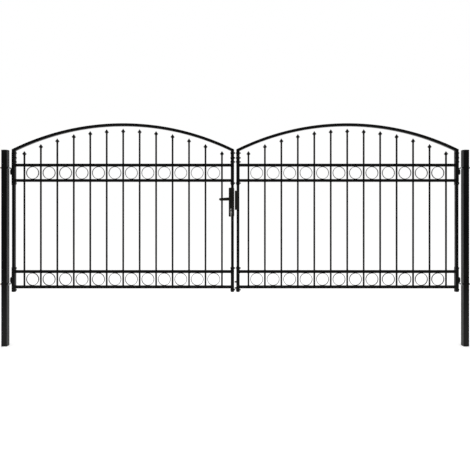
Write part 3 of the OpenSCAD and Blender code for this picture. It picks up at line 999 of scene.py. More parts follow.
@dataclass(frozen=True)
class CrossBolt:
    """Mushroom-head bolt through a sleeve and its stile, with a washer and a nut.

    Attributes:
        thread: Diameter of the thread.
        pitch: Pitch of the thread.
        head_width: Diameter of the mushroom head.
        head_height: Height of the mushroom head.
        nut_width: Width of the nut across its flats.
        nut_height: Height of the nut.
        washer_width: Diameter of the washer.
        washer_height: Thickness of the washer.
        tip: Length of thread past the nut.
        lip_share: Height of the head's upright lip as a share of the head's height.
        dome_steps: Sections of the head's dome.
        washer_chamfer_share: Chamfer of the washer as a share of its thickness.
        nut_chamfer_share: Height of the nut's chamfers as a share of the nut's height.
        turned_share: Radius that the nut's corners are turned down to, as a share of its width.
        thread_depth_share: Depth of the thread as a share of its pitch.
        steps_per_turn: Sections in each turn of the thread.
        nut_sides: Points round the nut.
        thread_sides: Points round the thread.
    """

    thread: float = 8.0 * MM
    pitch: float = 1.25 * MM
    head_width: float = 17.0 * MM
    head_height: float = 3.8 * MM
    nut_width: float = 13.0 * MM
    nut_height: float = 6.5 * MM
    washer_width: float = 16.0 * MM
    washer_height: float = 1.6 * MM
    tip: float = 2.4 * MM
    lip_share: float = 0.2
    dome_steps: int = 5
    washer_chamfer_share: float = 0.3
    nut_chamfer_share: float = 0.14
    turned_share: float = 0.48
    thread_depth_share: float = 0.54
    steps_per_turn: int = 6
    nut_sides: int = 36
    thread_sides: int = 16

    def add_head(self, sketch: MeshSketch, place: Matrix) -> None:
        """Adds the mushroom head, standing on the place.

        Args:
            sketch: Mesh that gains it.
            place: Place on the sleeve's face, pointing away from it.
        """
        rim = 0.5 * self.head_width
        lip = self.lip_share * self.head_height
        sections = [(0.0, circle(rim)), (lip, circle(rim))]
        for step in range(1, self.dome_steps):
            angle = 0.5 * math.pi * step / self.dome_steps
            rise = lip + (self.head_height - lip) * math.sin(angle)
            sections.append((rise, circle(rim * math.cos(angle))))
        sketch.turn(place, sections)

    def thread_sections(self, foot: float, top: float) -> list[tuple[float, Outline]]:
        """Makes the sections of the thread, which tapers over its last turn.

        Args:
            foot: Height where the thread starts.
            top: Height where it ends.

        Returns:
            Height and outline of each section.
        """
        depth = self.thread_depth_share * self.pitch
        count = round((top - foot) / self.pitch * self.steps_per_turn)
        sections = []
        for step in range(count + 1):
            height = foot + (top - foot) * step / count
            taper = min(1.0, (top - height) / self.pitch)
            crest = 0.5 * self.thread - depth * (1.0 - taper)
            sections.append((height, thread_outline(crest, depth, height / self.pitch)))
        return sections

    def add_nut(self, sketch: MeshSketch, place: Matrix) -> None:
        """Adds the washer, the nut and the thread's end, standing on the place.

        Args:
            sketch: Mesh that gains them.
            place: Place on the sleeve's face, pointing away from it.
        """
        rim = 0.5 * self.washer_width
        bevel = self.washer_chamfer_share * self.washer_height
        sketch.turn(place, [
            (0.0, circle(rim)),
            (self.washer_height - bevel, circle(rim)),
            (self.washer_height, circle(rim - bevel)),
        ])
        start = self.washer_height
        top = start + self.nut_height
        chamfer = self.nut_chamfer_share * self.nut_height
        turned = hexagon(self.nut_width, self.turned_share * self.nut_width)
        full = hexagon(self.nut_width)
        nut = [(start, turned), (start + chamfer, full), (top - chamfer, full), (top, turned)]
        sketch.turn(place, nut, self.nut_sides)
        sketch.turn(place, self.thread_sections(0.5 * (start + top), top + self.tip), self.thread_sides)


@dataclass
class HingeBolt:
    """Bent hinge bolt with a threaded rod, which stands for its CAD node.

    Attributes:
        side: Half of the gate.
        upper: Whether it is the upper bolt, whose pin points down.
        bend_radius: Radius of the bend along the bolt's middle.
        pitch: Pitch of the thread.
        thread_depth_share: Depth of the thread as a share of its pitch.
        plain_end: Length of smooth rod before the bend.
        chamfer: Chamfer of both ends.
        sides: Points round the bolt.
        steps_per_turn: Sections in each turn of the thread.
        bend_steps: Sections along the bend.
    """

    side: Side
    upper: bool
    bend_radius: float = 14.0 * MM
    pitch: float = 1.75 * MM
    thread_depth_share: float = 0.5
    plain_end: float = 2.0 * MM
    chamfer: float = 1.2 * MM
    sides: int = 22
    steps_per_turn: int = 6
    bend_steps: int = 14

    @property
    def node(self) -> str:
        """Name of the CAD node."""
        return f"{self.side.prefix}_{'upper' if self.upper else 'lower'}_hinge_bolt"

    @property
    def rod_way(self) -> Vector:
        """Way along the rod, from its threaded end to the bend."""
        return self.side.value * X_AXIS

    @property
    def pin_way(self) -> Vector:
        """Way along the pin, from the bend to its end."""
        return -Z_AXIS if self.upper else Z_AXIS

    def ring(self, centre: Vector, ahead: Vector, outline: Outline) -> Ring:
        """Makes the points round the bolt at one place.

        Args:
            centre: Middle of the ring.
            ahead: Way along the bolt.
            outline: Outline of the bolt there.

        Returns:
            The points of the ring.
        """
        across = Y_AXIS.cross(ahead)
        angles = angles_round(self.sides)
        return [centre + outline(a) * (math.cos(a) * across + math.sin(a) * Y_AXIS) for a in angles]

    def rod_rings(self, tail: Vector, length: float, radius: float) -> list[Ring]:
        """Makes the rings of the thread, which has a chamfered end and runs out before the bend.

        Args:
            tail: Middle of the threaded end.
            length: Length of the thread.
            radius: Radius of the bolt.

        Returns:
            The rings in order.
        """
        depth = self.thread_depth_share * self.pitch
        count = round(length / self.pitch * self.steps_per_turn)
        rings = []
        for step in range(count + 1):
            along = length * step / count
            crest = radius - max(0.0, self.chamfer - along)
            run_out = min(1.0, (length - along) / self.pitch)
            outline = thread_outline(crest, depth * run_out, along / self.pitch)
            rings.append(self.ring(tail + along * self.rod_way, self.rod_way, outline))
        return rings

    def bend_rings(self, start: Vector, radius: float) -> list[Ring]:
        """Makes the rings of the bend.

        Args:
            start: Where the rod ends and the bend starts.
            radius: Radius of the bolt.

        Returns:
            The rings in order.
        """
        centre = start + self.bend_radius * self.pin_way
        rings = []
        for step in range(self.bend_steps + 1):
            angle = 0.5 * math.pi * step / self.bend_steps
            ahead = math.cos(angle) * self.rod_way + math.sin(angle) * self.pin_way
            out = math.sin(angle) * self.rod_way - math.cos(angle) * self.pin_way
            rings.append(self.ring(centre + self.bend_radius * out, ahead, circle(radius)))
        return rings

    def build(self) -> None:
        """Builds the bolt from its CAD node's box."""
        low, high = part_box(self.node)
        radius = 0.5 * (high.y - low.y)
        tail = Vector((
            low.x if self.side is Side.LEFT else high.x,
            0.5 * (low.y + high.y),
            high.z - radius if self.upper else low.z + radius,
        ))
        rod_length = high.x - low.x - radius - self.bend_radius
        pin_length = high.z - low.z - radius - self.bend_radius
        bend_start = tail + rod_length * self.rod_way
        pin_start = bend_start + self.bend_radius * (self.rod_way + self.pin_way)
        chamfer_start = pin_start + (pin_length - self.chamfer) * self.pin_way
        pin_end = pin_start + pin_length * self.pin_way
        sketch = MeshSketch()
        sketch.skin([
            *self.rod_rings(tail, rod_length - self.plain_end, radius),
            *self.bend_rings(bend_start, radius),
            self.ring(chamfer_start, self.pin_way, circle(radius)),
            self.ring(pin_end, self.pin_way, circle(radius - self.chamfer)),
        ])
        made = sketch.piece(f"{self.node}_threaded", "posts", ZINC_PLATE, BOLT_SHARP_DEG)
        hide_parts(self.node)


@dataclass
class Posts:
    """Square posts with their caps, hinge bolts and nuts.

    Attributes:
        tube_round: Rounding of the post tube's edges.
        cap_round: Rounding of the cap's edges.
        nut_round: Rounding of nuts and washers.
    """

    tube_round: float = 0.9 * MM
    cap_round: float = 1.2 * MM
    nut_round: float = 0.5 * MM

    def build(self) -> None:
        """Builds the threaded bolts and softens the tubes, caps and nuts."""
        for side in Side:
            soften(f"{side.prefix}_post", self.tube_round)
            soften(f"{side.prefix}_post_cap", self.cap_round, limited=True)
            soften(f"{side.prefix}_hinge_nuts", self.nut_round)
            for upper in (True, False):
                HingeBolt(side, upper).build()


@dataclass
class Leaf:
    """One gate leaf: tubes, sleeves, bars, spears and rings, with their welds and cross bolts.

    Attributes:
        side: Half of the gate.
        bar_count: Number of bars.
        tube_round: Rounding of the tubes' edges.
        top_bolt_rises: Heights of the bolts above the top rail.
        upper_end_inset: Height of a bolt above the upper sleeve's foot.
        lower_end_inset: Depth of a bolt below the lower sleeve's top.
        foot_inset: Height of a bolt above the lower sleeve's foot.
        sleeve_reach: Reach of a sleeve past the middle of the inner rail that it carries.
        tack_length: Length of a tack weld.
        bolt: Cross bolt through a sleeve.
        seam: Bead round a rail's or a hinge eye's end.
        small_seam: Bead round a bar, and tack of a ring.
    """

    side: Side
    bar_count: int = 13
    tube_round: float = 0.6 * MM
    top_bolt_rises: tuple[float, ...] = (29.0 * MM, 65.0 * MM, 108.0 * MM)
    upper_end_inset: float = 16.5 * MM
    lower_end_inset: float = 9.0 * MM
    foot_inset: float = 10.0 * MM
    sleeve_reach: float = 40.0 * MM
    tack_length: float = 9.0 * MM
    bolt: CrossBolt = CrossBolt()
    seam: WeldBead = WeldBead()
    small_seam: WeldBead = WeldBead(radius=1.2 * MM, ripple_pitch=2.0 * MM, sides=5)

    def node(self, name: str) -> str:
        """Full name of one of this leaf's nodes."""
        return f"{self.side.prefix}_{name}"

    def middle_x(self, name: str) -> float:
        """Middle of a node along X."""
        low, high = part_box(self.node(name))
        return 0.5 * (low.x + high.x)

    @property
    def stile_places(self) -> tuple[float, float]:
        """Places of both stiles along X, from left to right."""
        places = (self.middle_x("hinge_stile"), self.middle_x("meeting_stile"))
        return min(places), max(places)

    @property
    def tube_half(self) -> float:
        """Half of the stile tube's side."""
        low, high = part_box(self.node("hinge_stile"))
        return 0.5 * (high.x - low.x)

    @property
    def sleeve_half(self) -> float:
        """Half of a sleeve's side."""
        low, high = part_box(self.node("sleeves"))
        return 0.5 * (high.y - low.y)

    @property
    def rail_heights(self) -> tuple[float, float, float, float]:
        """Heights of the rails' middles.

        Returns:
            The four heights, from the top rail down.
        """
        heights = []
        for band in ("upper_rails", "lower_rails"):
            low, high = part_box(self.node(band))
            heights.extend((high.z - self.tube_half, low.z + self.tube_half))
        top, upper, lower, bottom = heights
        return top, upper, lower, bottom

    @property
    def bar_radius(self) -> float:
        """Radius of the bars."""
        low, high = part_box(self.node("bars"))
        return 0.5 * (high.y - low.y)

    @property
    def bar_places(self) -> list[float]:
        """Places of the bars.

        Returns:
            The places along X, from left to right.
        """
        low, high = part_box(self.node("bars"))
        first = low.x + self.bar_radius
        pitch = (high.x - self.bar_radius - first) / (self.bar_count - 1)
        return [first + index * pitch for index in range(self.bar_count)]

    def bolt_heights(self) -> list[float]:
        """Works out the heights of the cross bolts.

        Returns:
            Heights above the top rail, in the upper sleeves and in the lower sleeves.
        """
        top, upper, lower, _ = self.rail_heights
        sleeve_low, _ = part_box(self.node("sleeves"))
        return [
            *(top + rise for rise in self.top_bolt_rises),
            upper - self.sleeve_reach + self.upper_end_inset,
            lower + self.sleeve_reach - self.lower_end_inset,
            sleeve_low.z + self.foot_inset,
        ]

    def build_cross_bolts(self) -> None:
        """Builds the bolts through sleeves and stiles, with every nut to the right."""
        sketch = MeshSketch()
        for x in self.stile_places:
            for z in self.bolt_heights():
                left_face = Vector((x - self.sleeve_half, 0.0, z))
                right_face = Vector((x + self.sleeve_half, 0.0, z))
                self.bolt.add_head(sketch, placed(left_face, -X_AXIS))
                self.bolt.add_nut(sketch, placed(right_face, X_AXIS))
        sketch.piece(self.node("cross_bolts"), self.side.body, PAINTED_FASTENER)

    def eye_ends(self) -> list[list[Vector]]:
        """Finds the ends of the hinge eyes on the sleeves.

        Returns:
            Points of the lower eye's end and of the upper eye's end.
        """
        low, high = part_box(self.node("hinge_eyes"))
        end_x = high.x if self.side is Side.LEFT else low.x
        middle_z = 0.5 * (low.z + high.z)
        points = [vertex.co for vertex in frame["nodes"][self.node("hinge_eyes")].data.vertices]
        ends = [point for point in points if abs(point.x - end_x) < SAME_PLACE]
        return [[p for p in ends if p.z < middle_z], [p for p in ends if p.z > middle_z]]

    def build_eye_seams(self) -> None:
        """Builds the seams where the hinge eyes meet the sleeves."""
        sketch = MeshSketch()
        for end in self.eye_ends():
            low = Vector(min(point[axis] for point in end) for axis in range(3))
            high = Vector(max(point[axis] for point in end) for axis in range(3))
            half = 0.5 * (high - low)
            corners = square_path(0.5 * (low + high), half.y * Y_AXIS, half.z * Z_AXIS)
            self.seam.lay(sketch, corners, X_AXIS, loop=True)
        sketch.piece(self.node("eye_seams"), self.side.body, POWDER_COAT, SEAM_SHARP_DEG)

    def build_rail_seams(self) -> None:
        """Builds the seams where the rails meet the sleeves."""
        sketch = MeshSketch()
        half = self.tube_half
        left, right = self.stile_places
        for z in self.rail_heights:
            for x in (left + self.sleeve_half, right - self.sleeve_half):
                corners = square_path(Vector((x, 0.0, z)), half * Y_AXIS, half * Z_AXIS)
                self.seam.lay(sketch, corners, X_AXIS, loop=True)
        sketch.piece(self.node("rail_seams"), self.side.body, POWDER_COAT, SEAM_SHARP_DEG)

    def build_bar_seams(self) -> None:
        """Builds the thin seams round the bars, above and below each rail that they pass."""
        sketch = MeshSketch()
        *passed, bottom = self.rail_heights
        levels = [bottom + self.tube_half]
        for z in passed:
            levels.extend((z - self.tube_half, z + self.tube_half))
        radius = self.bar_radius
        for x in self.bar_places:
            for z in levels:
                path = circle_path(Vector((x, 0.0, z)), radius)
                self.small_seam.lay(sketch, path, Z_AXIS, loop=True)
        sketch.piece(self.node("bar_seams"), self.side.body, POWDER_COAT, SEAM_SHARP_DEG)

    def build_ring_tacks(self) -> None:
        """Builds the tack welds that hold each ring to the rails above and below it."""
        sketch = MeshSketch()
        ring_low, ring_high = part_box(self.node("upper_rings"))
        radius = 0.5 * (ring_high.z - ring_low.z)
        offset = math.sqrt(2.0 * radius * self.small_seam.radius)
        half_length = 0.5 * self.tack_length
        ring_sides = (-1.0, 1.0, -1.0, 1.0)
        levels = [z + way * self.tube_half for z, way in zip(self.rail_heights, ring_sides)]
        places = self.bar_places
        for x in (0.5 * (a + b) for a, b in zip(places, places[1:])):
            for z in levels:
                for way in (-1.0, 1.0):
                    centre = Vector((x + way * offset, 0.0, z))
                    ends = [centre - half_length * Y_AXIS, centre + half_length * Y_AXIS]
                    self.small_seam.lay(sketch, ends, Z_AXIS)
        sketch.piece(self.node("ring_tacks"), self.side.body, POWDER_COAT, SEAM_SHARP_DEG)

    def build(self) -> None:
        """Softens the leaf's tubes and builds its bolts and welds."""
        for name in ("hinge_stile", "meeting_stile", "sleeves", "arch", "hinge_eyes"):
            soften(self.node(name), self.tube_round)
        soften(self.node("foot_plugs"), self.tube_round, limited=True)
        self.build_cross_bolts()
        self.build_eye_seams()
        self.build_rail_seams()
        self.build_bar_seams()
        self.build_ring_tacks()


@dataclass(frozen=True)
class Screw:
    """Countersunk screw with a hexagon socket, nearly flush with its plate.

    Attributes:
        head_width: Diameter of the head.
        rise: Height of the head above its plate.
        socket_width: Width of the socket across the flats.
        socket_depth: Depth of the socket.
        sunk_depth: Depth of the countersunk cone.
        foot_share: Radius of the cone's foot as a share of the head's radius.
        crown_shares: Sections of the crown, as shares of the rise and of the head's radius.
    """

    head_width: float = 7.5 * MM
    rise: float = 0.5 * MM
    socket_width: float = 3.0 * MM
    socket_depth: float = 1.6 * MM
    sunk_depth: float = 2.4 * MM
    foot_share: float = 0.5
    crown_shares: tuple[tuple[float, float], ...] = ((0.7, 0.96), (1.0, 0.84))

    def add(self, sketch: MeshSketch, place: Matrix) -> None:
        """Adds the screw's head.

        Args:
            sketch: Mesh that gains it.
            place: Place on the plate, pointing away from it.
        """
        rim = 0.5 * self.head_width
        socket = hexagon(self.socket_width)
        sketch.turn(place, [
            (-self.sunk_depth, circle(self.foot_share * rim)),
            (0.0, circle(rim)),
            *((rise * self.rise, circle(width * rim)) for rise, width in self.crown_shares),
            (self.rise, socket),
            (self.rise - self.socket_depth, socket),
        ])


@dataclass(frozen=True)
class FlatKey:
    """Flat key with a holed bow and a cut blade.

    Attributes:
        bow_width: Width of the bow.
        bow_length: Length of the bow.
        hole_width: Diameter of the hole for the ring.
        hole_offset: Distance of the hole from the bow's middle, away from the blade.
        thickness: Thickness of the key.
        blade_width: Width of the blade.
        cut_depths: Depths of the cuts, from the bow to the tip.
        rim_points: Points round the bow and round its hole.
        root_share: Start of the blade in the bow as a share of half of the bow's length.
        point_share: Length of the blade's point as a share of the cuts' pitch.
        floor_share: Half of a cut's flat floor as a share of the cuts' pitch.
    """

    bow_width: float = 23.0 * MM
    bow_length: float = 22.0 * MM
    hole_width: float = 7.0 * MM
    hole_offset: float = 5.0 * MM
    thickness: float = 2.2 * MM
    blade_width: float = 8.0 * MM
    cut_depths: tuple[float, ...] = (1.2 * MM, 2.6 * MM, 1.8 * MM, 3.0 * MM, 1.5 * MM)
    rim_points: int = 32
    root_share: float = 0.85
    point_share: float = 0.4
    floor_share: float = 0.1

    def add(self, sketch: MeshSketch, place: Matrix, blade_length: float) -> None:
        """Adds the key.

        Args:
            sketch: Mesh that gains it.
            place: Place of the bow's middle, with the blade along the local -y axis.
            blade_length: Length of blade below the bow.
        """
        angles = angles_round(self.rim_points)
        half_width = 0.5 * self.bow_width
        half_length = 0.5 * self.bow_length
        hole = 0.5 * self.hole_width
        rim = [(half_width * math.cos(a), half_length * math.sin(a)) for a in angles]
        gap = [(hole * math.cos(a), self.hole_offset + hole * math.sin(a)) for a in angles]
        sketch.plate(place, rim, self.thickness, gap)
        half_blade = 0.5 * self.blade_width
        start = -self.root_share * half_length
        tip = -half_length - blade_length
        pitch = blade_length / (len(self.cut_depths) + 1)
        shoulder = tip + self.point_share * pitch
        edge = [(-half_blade, start), (-half_blade, shoulder), (0.0, tip), (half_blade, shoulder)]
        half_floor = self.floor_share * pitch
        for index, depth in enumerate(reversed(self.cut_depths), 1):
            y = tip + index * pitch
            edge.append((half_blade - depth, y - half_floor))
            edge.append((half_blade - depth, y + half_floor))
            edge.append((half_blade, y + 0.5 * pitch))
        edge.append((half_blade, start))
        sketch.plate(place, edge, self.thickness)


@dataclass(frozen=True)
class KeyBunch:
    """Key in the front of the cylinder, with a split ring and a second key that hangs from it.

    Attributes:
        ring_radius: Radius of the ring along its wire's middle.
        wire_radius: Radius of the ring's wire.
        neck: Length of blade between the cylinder and the bow.
        hanging_blade: Length of the hanging key's blade.
        hanging_turn_deg: Turn of the hanging key out of the side view.
        slack_share: Distance of the wire's middle from a hole's edge as a share of the wire's radius.
        ring_steps: Points along the ring.
        wire_sides: Points round the wire.
        key: Shape of both keys.
    """

    ring_radius: float = 9.0 * MM
    wire_radius: float = 0.8 * MM
    neck: float = 4.0 * MM
    hanging_blade: float = 28.0 * MM
    hanging_turn_deg: float = 40.0
    slack_share: float = 1.3
    ring_steps: int = 36
    wire_sides: int = 8
    key: FlatKey = FlatKey()

    def add_ring(self, sketch: MeshSketch, centre: Vector) -> None:
        """Adds both turns of the split ring, upright and facing the front.

        Args:
            sketch: Mesh that gains them.
            centre: Middle of the ring.
        """
        angles = angles_round(self.wire_sides)
        for way in (-1.0, 1.0):
            rings = []
            for turn in angles_round(self.ring_steps):
                out = math.cos(turn) * Z_AXIS + math.sin(turn) * X_AXIS
                middle = centre + way * self.wire_radius * Y_AXIS + self.ring_radius * out
                spokes = [math.cos(angle) * Y_AXIS + math.sin(angle) * out for angle in angles]
                rings.append([middle + self.wire_radius * spoke for spoke in spokes])
            sketch.skin(rings, loop=True)

    def build(self, keyhole: Vector) -> None:
        """Builds the bunch.

        Args:
            keyhole: Middle of the keyway on the cylinder's front.
        """
        sketch = MeshSketch()
        half_bow = 0.5 * self.key.bow_length
        bow = keyhole - (self.neck + half_bow) * Y_AXIS
        upright = Matrix((Z_AXIS, -Y_AXIS, X_AXIS)).transposed().to_4x4()
        # The blade goes as far into the plug as it stands out of it
        self.key.add(sketch, Matrix.Translation(bow) @ upright, 2.0 * self.neck)
        seat = 0.5 * self.key.hole_width - self.slack_share * self.wire_radius
        ring_top = bow - self.key.hole_offset * Y_AXIS - seat * Z_AXIS
        centre = ring_top - self.ring_radius * Z_AXIS
        self.add_ring(sketch, centre)
        hole = centre - (self.ring_radius + seat) * Z_AXIS
        turn = Matrix.Rotation(math.radians(self.hanging_turn_deg), 4, "Z")
        hanging = Matrix((Y_AXIS, Z_AXIS, X_AXIS)).transposed().to_4x4()
        place = Matrix.Translation(hole - self.key.hole_offset * Z_AXIS) @ turn @ hanging
        self.key.add(sketch, place, self.hanging_blade)
        sketch.piece("key_bunch", "left_leaf", NICKEL_PLATE)


@dataclass
class Lock:
    """Lock on the left leaf: case, long plates, strip, bolts and key cylinder.

    Attributes:
        plate_round: Rounding of the lock's edges.
        screw_inset: Distance of a plate screw from the plate's end.
        strip_screw_inset: Distance of a strip screw from the strip's end.
        plug_width: Diameter of the turning plug in the key cylinder.
        plug_rise: Height of the plug above the cylinder's face.
        key_height: Height of the keyway.
        key_width: Width of the keyway.
        key_depth: Depth of the keyway.
        crown_shares: Sections of the plug's end, as shares of its rise and of its radius.
        plug_sides: Points round the plug.
        screw: Screw of the plates and the strip.
        keys: Keys in the front of the cylinder.
        black_nodes: Nodes in the lock's black coat.
        plated_nodes: Nodes that keep the finish of their slot.
    """

    plate_round: float = 0.5 * MM
    screw_inset: float = 17.0 * MM
    strip_screw_inset: float = 10.0 * MM
    plug_width: float = 13.0 * MM
    plug_rise: float = 0.5 * MM
    key_height: float = 8.5 * MM
    key_width: float = 2.4 * MM
    key_depth: float = 4.0 * MM
    crown_shares: tuple[tuple[float, float], ...] = ((0.6, 1.0), (1.0, 0.95))
    plug_sides: int = 48
    screw: Screw = Screw()
    keys: KeyBunch = KeyBunch()
    black_nodes: tuple[str, ...] = ("front_lock_plate", "back_lock_plate", "lock_case")
    plated_nodes: tuple[str, ...] = ("key_cylinder", "lock_strip", "lock_bolts")

    def build_screws(self) -> None:
        """Builds the screws of both long plates and of the strip."""
        plate_screws = MeshSketch()
        for side in Face:
            low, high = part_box(f"{side.prefix}_lock_plate")
            face_y = low.y if side is Face.FRONT else high.y
            x = 0.5 * (low.x + high.x)
            for z in (low.z + self.screw_inset, high.z - self.screw_inset):
                self.screw.add(plate_screws, placed(Vector((x, face_y, z)), side.value * Y_AXIS))
        plate_screws.piece("lock_plate_screws", "left_leaf", PAINTED_FASTENER)
        strip_screws = MeshSketch()
        low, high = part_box("lock_strip")
        for z in (low.z + self.strip_screw_inset, high.z - self.strip_screw_inset):
            self.screw.add(strip_screws, placed(Vector((high.x, 0.0, z)), X_AXIS))
        strip_screws.piece("lock_strip_screws", "left_leaf", NICKEL_PLATE)

    def build_key_plugs(self) -> None:
        """Builds the turning plugs with their keyways on both ends of the key cylinder, and the keys."""
        sketch = MeshSketch()
        low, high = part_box("key_cylinder")
        radius = 0.5 * (high.x - low.x)
        rim = 0.5 * self.plug_width
        keyway = slot_hole(self.key_height, self.key_width)
        for side in Face:
            face_y = low.y if side is Face.FRONT else high.y
            centre = Vector((0.5 * (low.x + high.x), face_y, high.z - radius))
            out = side.value * Y_AXIS
            turn = Matrix((Z_AXIS, out.cross(Z_AXIS), out)).transposed().to_4x4()
            sketch.turn(Matrix.Translation(centre) @ turn, [
                (-self.plug_rise, circle(rim)),
                *((rise * self.plug_rise, circle(width * rim)) for rise, width in self.crown_shares),
                (self.plug_rise, keyway),
                (self.plug_rise - self.key_depth, keyway),
            ], self.plug_sides)
        sketch.piece("key_plugs", "left_leaf", NICKEL_PLATE)
        self.keys.build(Vector((0.5 * (low.x + high.x), low.y - self.plug_rise, high.z - radius)))

    def build(self) -> None:
        """Softens and dresses the lock and builds its screws, plugs and keys."""
        for node in self.black_nodes + self.plated_nodes:
            soften(node, self.plate_round)
        for node in self.black_nodes:
            dress(node, LOCK_COAT)
        self.build_screws()
        self.build_key_plugs()


@dataclass
class Levers:
    """Levers in front of and behind the lock, on their spindle.

    Attributes:
        edge_round: Rounding of the cast levers' edges.
        round_segments: Faces across that rounding.
    """

    edge_round: float = 1.0 * MM
    round_segments: int = 3

    def build(self) -> None:
        """Softens and dresses the levers."""
        for side in Face:
            soften(f"{side.prefix}_lever", self.edge_round, self.round_segments)
            dress(f"{side.prefix}_lever", LOCK_COAT)


@dataclass
class Keeper:
    """Keeper and rod guides on the right leaf, with their seams.

    Attributes:
        sheet_round: Rounding of the bent sheet's edges.
        guide_height: Height of a rod guide.
        seam: Bead of keeper and guides.
        seam_starts: Starts of the upright seams, as shares of the keeper's height.
        seam_share: Length of an upright seam as a share of the keeper's height.
    """

    sheet_round: float = 0.8 * MM
    guide_height: float = 11.0 * MM
    seam: WeldBead = WeldBead(radius=1.5 * MM)
    seam_starts: tuple[float, ...] = (0.1, 0.7)
    seam_share: float = 0.2

    def build(self) -> None:
        """Softens the keeper and the guides, and builds the seams that hold them."""
        soften("keeper", self.sheet_round)
        soften("rod_guides", self.sheet_round, limited=True)
        dress("keeper", LOCK_COAT)
        sketch = MeshSketch()
        low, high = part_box("keeper")
        stile_low, stile_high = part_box("right_meeting_stile")
        height = high.z - low.z
        for y in (stile_low.y, stile_high.y):
            for start in self.seam_starts:
                foot = low.z + start * height
                path = [Vector((high.x, y, foot)), Vector((high.x, y, foot + self.seam_share * height))]
                self.seam.lay(sketch, path, X_AXIS)
        guide_low, guide_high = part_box("rod_guides")
        middle_y = 0.5 * (guide_low.y + guide_high.y)
        half_width = 0.5 * (guide_high.y - guide_low.y)
        half_height = 0.5 * self.guide_height
        for z in (guide_low.z + half_height, guide_high.z - half_height):
            end = Vector((guide_high.x, middle_y, z))
            corners = square_path(end, half_width * Y_AXIS, half_height * Z_AXIS)
            self.seam.lay(sketch, corners, X_AXIS, loop=True)
        sketch.piece("keeper_seams", "right_leaf", POWDER_COAT, SEAM_SHARP_DEG)


@dataclass(frozen=True)
class Lamp:
    """Square soft lamp that points at the gate's middle.

    Attributes:
        name: Name of the lamp.
        offset: Place of the lamp from the gate's middle.
        power: Power in watts.
        size: Side of the lamp.
    """

    name: str
    offset: tuple[float, float, float]
    power: float
    size: float = 4.0

    def build(self) -> None:
        """Hangs the lamp."""
        low, high = CAD_BOX
        away = Vector(self.offset)
        lamp = bpy.data.lights.new(self.name, "AREA")
        lamp.shape = "SQUARE"
        lamp.size = self.size
        lamp.energy = self.power
        holder = bpy.data.objects.new(self.name, lamp)
        holder.location = 0.5 * (low + high) + away
        holder.rotation_euler = (-away).to_track_quat("-Z", "Y").to_euler()
        bpy.context.scene.collection.objects.link(holder)


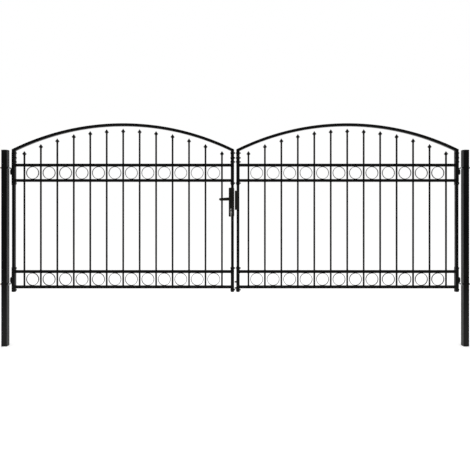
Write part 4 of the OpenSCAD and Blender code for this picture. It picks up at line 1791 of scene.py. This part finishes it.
@dataclass
class Studio:
    """Pale floor, white surroundings, soft lamps and the camera.

    Attributes:
        photo_side: Side of the square picture, in pixels.
        metres_per_pixel: Size of a pixel in the gate's middle plane.
        gate_pixel: Column of the gate's middle.
        foot_pixel: Row of the posts' feet in the middle plane.
        horizon_pixel: Row of the camera's own height.
        distance: Distance of the camera from the middle plane.
        sensor: Width of the camera's sensor, in millimetres.
        ambient: Strength of the surroundings on matt surfaces.
        mirrored_glow: Strength of the surroundings at eye level and overhead, as shiny surfaces mirror them.
        overhead_fade: Rise of a direction where the fall to the overhead strength starts and ends.
        front_share: Share of that strength that is left before the gate.
        front_fade: Way along Y of a direction where that share ends and where the full strength starts.
        floor_reach: Reach of the floor to both sides and behind the gate.
        floor_front: Reach of the floor before the gate.
        floor_colour: Colour of the floor.
        floor_lift: Glow of the floor for the camera and in what shiny surfaces mirror.
        lamps: Soft lamps round the gate.
    """

    photo_side: float = 470.0
    metres_per_pixel: float = 8.93 * MM
    gate_pixel: float = 235.2
    foot_pixel: float = 345.75
    horizon_pixel: float = 215.0
    distance: float = 4.2
    sensor: float = 36.0
    ambient: float = 0.92
    mirrored_glow: tuple[float, float] = (0.8, 0.3)
    overhead_fade: tuple[float, float] = (0.05, 0.6)
    front_share: float = 0.06
    front_fade: tuple[float, float] = (-0.45, 0.1)
    floor_reach: float = 30.0
    floor_front: float = 2.2
    floor_colour: Colour = (0.8, 0.8, 0.8, 1.0)
    floor_lift: float = 0.27
    lamps: tuple[Lamp, ...] = (
        Lamp("key_lamp", (-2.5, -4.5, 4.5), 60.0),
        Lamp("fill_lamp", (3.5, -4.0, 4.0), 35.0),
        Lamp("back_lamp", (0.5, 4.5, 4.5), 35.0),
    )

    def build_camera(self) -> None:
        """Builds the level camera at the photograph's angle."""
        width = self.photo_side * self.metres_per_pixel
        middle = 0.5 * self.photo_side
        camera = bpy.data.cameras.new("camera")
        camera.sensor_width = self.sensor
        camera.lens = self.sensor * self.distance / width
        camera.shift_y = (self.horizon_pixel - middle) / self.photo_side
        low, high = CAD_BOX
        x = 0.5 * (low.x + high.x) - (self.gate_pixel - middle) * self.metres_per_pixel
        z = low.z + (self.foot_pixel - self.horizon_pixel) * self.metres_per_pixel
        stand = bpy.data.objects.new("camera", camera)
        stand.location = (x, -self.distance, z)
        stand.rotation_euler = (0.5 * math.pi, 0.0, 0.0)
        bpy.context.scene.collection.objects.link(stand)
        bpy.context.scene.camera = stand

    def build_world(self) -> None:
        """Builds white surroundings, dim overhead and before the gate for what shiny surfaces mirror."""
        world = bpy.data.worlds.new("white_surroundings")
        bpy.context.scene.world = world
        world.use_nodes = True
        world.node_tree.nodes.clear()
        graph = Graph(world.node_tree)
        path = graph.add("LightPath").outputs
        direction = graph.add("TexCoord").outputs["Generated"]
        ways = graph.add("SeparateXYZ", {0: direction}).outputs
        behind = graph.remap(ways["Y"], *self.front_fade, self.front_share, 1.0)
        level = graph.remap(ways["Z"], *self.overhead_fade, *self.mirrored_glow)
        mirrored = graph.math("MULTIPLY", behind, level)
        seen = graph.math("MAXIMUM", path["Is Camera Ray"], path["Is Transmission Ray"])
        white = (1.0, 1.0, 1.0, 1.0)
        matt = graph.add("Background", {"Color": white, "Strength": self.ambient}).outputs[0]
        shiny = graph.add("Background", {"Color": white, "Strength": mirrored}).outputs[0]
        plain = graph.add("Background", {"Color": white, "Strength": 1.0}).outputs[0]
        lit = graph.add("MixShader", {0: path["Is Glossy Ray"], 1: matt, 2: shiny}).outputs[0]
        whole = graph.add("MixShader", {0: seen, 1: lit, 2: plain}).outputs[0]
        graph.add("OutputWorld", {"Surface": whole})

    def build_floor(self) -> None:
        """Builds the pale floor, which is white to the eye and in mirrors and keeps the shadow."""
        low, high = CAD_BOX
        depth = 0.5 * (self.floor_reach + self.floor_front)
        centre = Vector((0.5 * (low.x + high.x), depth - self.floor_front, low.z))
        mesh = bpy.data.meshes.new("floor")
        corners = square_path(centre, self.floor_reach * X_AXIS, depth * Y_AXIS)
        mesh.from_pydata(corners, [], [(0, 1, 2, 3)])
        floor = bpy.data.objects.new("floor", mesh)
        bpy.context.scene.collection.objects.link(floor)
        paint = bpy.data.materials.new("pale_floor")
        paint.use_nodes = True
        paint.node_tree.nodes.clear()
        graph = Graph(paint.node_tree)
        matt = graph.add("BsdfDiffuse", {"Color": self.floor_colour})
        path = graph.add("LightPath").outputs
        seen = graph.math("MAXIMUM", path["Is Camera Ray"], path["Is Glossy Ray"])
        glow = graph.add("Emission", {"Strength": graph.math("MULTIPLY", seen, self.floor_lift)})
        both = graph.add("AddShader", {0: matt.outputs[0], 1: glow.outputs[0]})
        graph.add("OutputMaterial", {"Surface": both.outputs[0]})
        mesh.materials.append(paint)

    def build(self) -> None:
        """Builds camera, surroundings, floor and lamps, and sets the plain view transform."""
        bpy.context.scene.view_settings.view_transform = "Standard"
        self.build_camera()
        self.build_world()
        self.build_floor()
        for lamp in self.lamps:
            lamp.build()
        LOG.info("studio: camera, surroundings, floor and %d lamps", len(self.lamps))


def dress_nodes() -> None:
    """Gives every CAD node the finish of its slot in the record."""
    for subpart in frame["record"]["subparts"]:
        dress(subpart["node"], NODE_FINISHES[Slot(subpart["material_slot"])])


def main() -> None:
    """Builds the studio and the gate's sub-assemblies in order."""
    logging.basicConfig(level=logging.INFO, format="%(name)s: %(message)s")
    Studio().build()
    dress_nodes()
    Posts().build()
    for side in Side:
        Leaf(side).build()
    Lock().build()
    Levers().build()
    Keeper().build()


if __name__ == "__main__":
    main()
